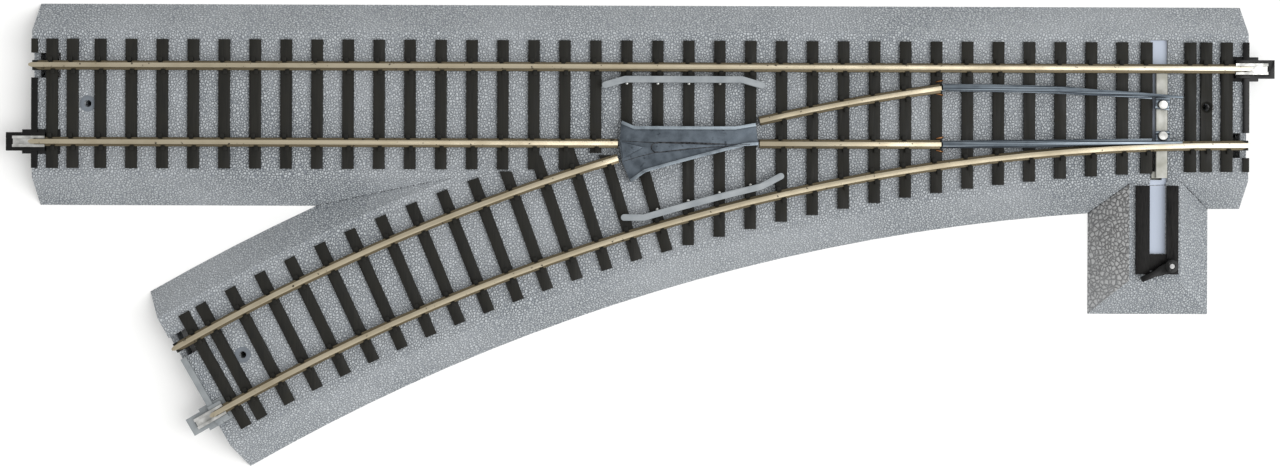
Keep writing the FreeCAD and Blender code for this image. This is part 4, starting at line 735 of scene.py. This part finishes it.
def shadeSpecks(name, edges, node, finish):
    chance = random.Random(len(name))
    work = bmesh.new()
    for start, end in edges:
        steps = max(1, round((end - start).length / mm(seamShade["speck"])))
        for step in range(steps):
            if chance.random() < seamShade["gap"]:
                continue
            speckAlong(work, start.lerp(end, step / steps), start.lerp(end, (step + 1) / steps), chance)
    count = len(work.faces)
    mesh = bpy.data.meshes.new(name)
    bmesh.ops.recalc_face_normals(work, faces=work.faces)
    work.to_mesh(mesh)
    work.free()
    mesh.materials.append(finish)
    piece = bpy.data.objects.new(name, mesh)
    bpy.context.scene.collection.objects.link(piece)
    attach(piece, bodyOf[node])
    return count


def edgeEnds(edges):
    ends = [tuple(vertex.co.copy() for vertex in edge.verts) for edge in edges]
    return [(start, end) for start, end in ends if (end - start).length > mm(seamShade["shortest"])]


bedMesh = welded("roadbed")
housingMesh = welded("throw_housing")
bedTree = BVHTree.FromBMesh(bedMesh)
valley = edgeEnds(valleyEdges(bedMesh))
housingSeam = edgeEnds(seatedEdges(housingMesh, bedTree))
bedMesh.free()
housingMesh.free()
# painted shade: one dark finish for the seam specks and the lines on the frog
paintedShade = seamShadeFinish("seamShade", seamShade)
seams = (("valleyGrime", valley, "roadbed"), ("housingGrime", housingSeam, "throw_housing"))
for label, group, node in seams:
    faces = shadeSpecks(label, group, node, paintedShade)
    print(label, "edges:", len(group), "faces:", faces)


# dark lines on the frog: painted shade along the flangeway corners and the brow of the vee, and a dark
# arc round the nose of the vee
frogLines = {
    # across the casting from its heel, and from its +Y side, as shares of its own box
    "upperCorner": ((0.02, 0.33), (0.25, 0.355), (0.6, 0.375), (0.94, 0.38)),
    "lowerCorner": ((0.03, 0.66), (0.13, 0.59), (0.25, 0.52), (0.5, 0.455), (0.74, 0.41), (0.95, 0.405)),
    "veeBrow": ((0.27, 0.345), (0.5, 0.35), (0.76, 0.372)),
    "halfWidth": 0.17, "taper": 0.4, "step": 0.8, "proud": 0.03, "sink": 0.15,
    "missedLevel": 13.0,
    "noseArcCentre": (0.262, 0.435), "noseArcRadius": 1.35, "noseArcFrom": 55.0, "noseArcTo": 305.0, "noseArcSteps": 14,
}


def lineOnTop(name, path, tree, body, slotName, finish):
    # a thin dark line laid on the upper surface, narrowing towards its two ends
    spots = []
    for start, end in zip(path, path[1:]):
        steps = max(1, round((end - start).length / mm(frogLines["step"])))
        spots += [start.lerp(end, step / steps) for step in range(steps)]
    spots.append(path[-1])
    work = bmesh.new()
    rings = []
    for number, spot in enumerate(spots):
        after = spots[min(number + 1, len(spots) - 1)]
        before = spots[max(number - 1, 0)]
        across = (after - before).cross(Vector((0, 0, 1))).normalized()
        endwise = min(number, len(spots) - 1 - number) / max(1, len(spots) - 1) * 2
        half = mm(frogLines["halfWidth"]) * (frogLines["taper"] + (1 - frogLines["taper"]) * endwise)
        ring = []
        for side in (-1, 1):
            edge = spot + side * half * across
            hit = tree.ray_cast(Vector((edge.x, edge.y, 1.0)), Vector((0, 0, -1)))[0]
            ring.append(Vector((edge.x, edge.y, hit.z if hit else mm(frogLines["missedLevel"]))))
        level = max(corner.z for corner in ring)
        low = [Vector((corner.x, corner.y, level - mm(frogLines["sink"]))) for corner in ring]
        high = [Vector((corner.x, corner.y, level + mm(frogLines["proud"]))) for corner in ring]
        rings.append([work.verts.new(corner) for corner in (low[0], high[0], high[1], low[1])])
    for one, other in zip(rings, rings[1:]):
        for index in range(4):
            after = (index + 1) % 4
            work.faces.new((one[index], one[after], other[after], other[index]))
    work.faces.new(rings[0])
    work.faces.new(rings[-1])
    bmesh.ops.recalc_face_normals(work, faces=work.faces)
    mesh = bpy.data.meshes.new(name)
    work.to_mesh(mesh)
    work.free()
    mesh.materials.append(finish)
    piece = bpy.data.objects.new(name, mesh)
    bpy.context.scene.collection.objects.link(piece)
    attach(piece, body)


frogMesh = welded("frog_casting")
frogTree = BVHTree.FromBMesh(frogMesh)
frogMesh.free()
frogLow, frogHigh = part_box("frog_casting")


def onFrog(across, down):
    return Vector((frogLow.x + across * (frogHigh.x - frogLow.x),
                   frogHigh.y - down * (frogHigh.y - frogLow.y), 0))


frogPlace = (frogTree, bodyOf["frog_casting"], slotOf["frog_casting"], paintedShade)
for label in ("upperCorner", "lowerCorner", "veeBrow"):
    lineOnTop(f"{label}Line", [onFrog(*share) for share in frogLines[label]], *frogPlace)
noseArcMiddle = onFrog(*frogLines["noseArcCentre"])
noseArcPath = []
for step in range(frogLines["noseArcSteps"] + 1):
    sweep = frogLines["noseArcTo"] - frogLines["noseArcFrom"]
    turn = math.radians(frogLines["noseArcFrom"] + sweep * step / frogLines["noseArcSteps"])
    noseArcPath.append(noseArcMiddle + mm(frogLines["noseArcRadius"]) * Vector((math.cos(turn), math.sin(turn), 0)))
lineOnTop("noseArc", noseArcPath, *frogPlace)
print("frog lines: 4")


# a plain pale floor under the turnout, painted matt
studio = {
    "floor": "#f4f4f3", "shade": "#ededec", "size": 3.0, "gap": 0.05, "centre": (-0.19, -0.04),
    "toneWidth": 300.0, "grainWidth": 2.0, "grainHeight": 0.01, "rough": 0.9,
}
floorMesh = bpy.data.meshes.new("studioFloor")
half = studio["size"] / 2
middle = Vector((*studio["centre"], -mm(studio["gap"])))
corners = [middle + Vector((x * half, y * half, 0)) for x, y in ((-1, -1), (1, -1), (1, 1), (-1, 1))]
floorMesh.from_pydata([tuple(corner) for corner in corners], [], [(0, 1, 2, 3)])
floor = bpy.data.objects.new("studioFloor", floorMesh)
bpy.context.scene.collection.objects.link(floor)
floorFinish, floorTree, floorPlace = newFinish("paintedFloor")
floorTone = addNode(floorTree, "ShaderNodeTexNoise", {
    "Vector": floorPlace, "Scale": perMm(studio["toneWidth"]), "Detail": 3.0})
floorColour = addNode(floorTree, "ShaderNodeMix", {
    "Factor": floorTone, firstColour: studio["floor"], secondColour: studio["shade"]}, data_type="RGBA")
floorGrain = addNode(floorTree, "ShaderNodeTexNoise", {
    "Vector": floorPlace, "Scale": perMm(studio["grainWidth"]), "Detail": 3.0})
closeFinish(floorTree, floorGrain, studio["grainHeight"], 0.2, {
    "Base Color": floorColour, "Roughness": studio["rough"]})
floorMesh.materials.append(floorFinish)

lamps = {
    # name: place in metres, size in metres, watts; each faces the turnout
    "keyLamp": ((2.1, -0.5, 3.0), 3.4, 112.0),
}
for name, (place, size, watts) in lamps.items():
    light = bpy.data.lights.new(name, "AREA")
    light.size = size
    light.energy = watts
    lamp = bpy.data.objects.new(name, light)
    lamp.location = place
    lamp.rotation_euler = (Vector(place) - middle).to_track_quat("Z", "Y").to_euler()
    bpy.context.scene.collection.objects.link(lamp)

world = bpy.data.worlds.new("softStudio")
world.use_nodes = True
skyLight = {"colour": "#ffffff", "strength": 0.8}
sky = world.node_tree.nodes["Background"]
sky.inputs["Color"].default_value = linearColour(skyLight["colour"])
sky.inputs["Strength"].default_value = skyLight["strength"]
bpy.context.scene.world = world
bpy.context.scene.view_settings.view_transform = "Standard"

view = {
    "place": (-0.1905, -0.0204, 0.650), "lens": 57.5, "sensor": 36.0, "shiftY": -0.05, "roll": 0.2,
    "nearest": 0.01,
}
lensData = bpy.data.cameras.new("overheadCamera")
lensData.lens = view["lens"]
lensData.sensor_width = view["sensor"]
lensData.shift_y = view["shiftY"]
lensData.clip_start = view["nearest"]
camera = bpy.data.objects.new("overheadCamera", lensData)
camera.location = view["place"]
camera.rotation_euler = (0.0, 0.0, math.radians(view["roll"]))
bpy.context.scene.collection.objects.link(camera)
bpy.context.scene.camera = camera
print("stage, lamps and camera ready")
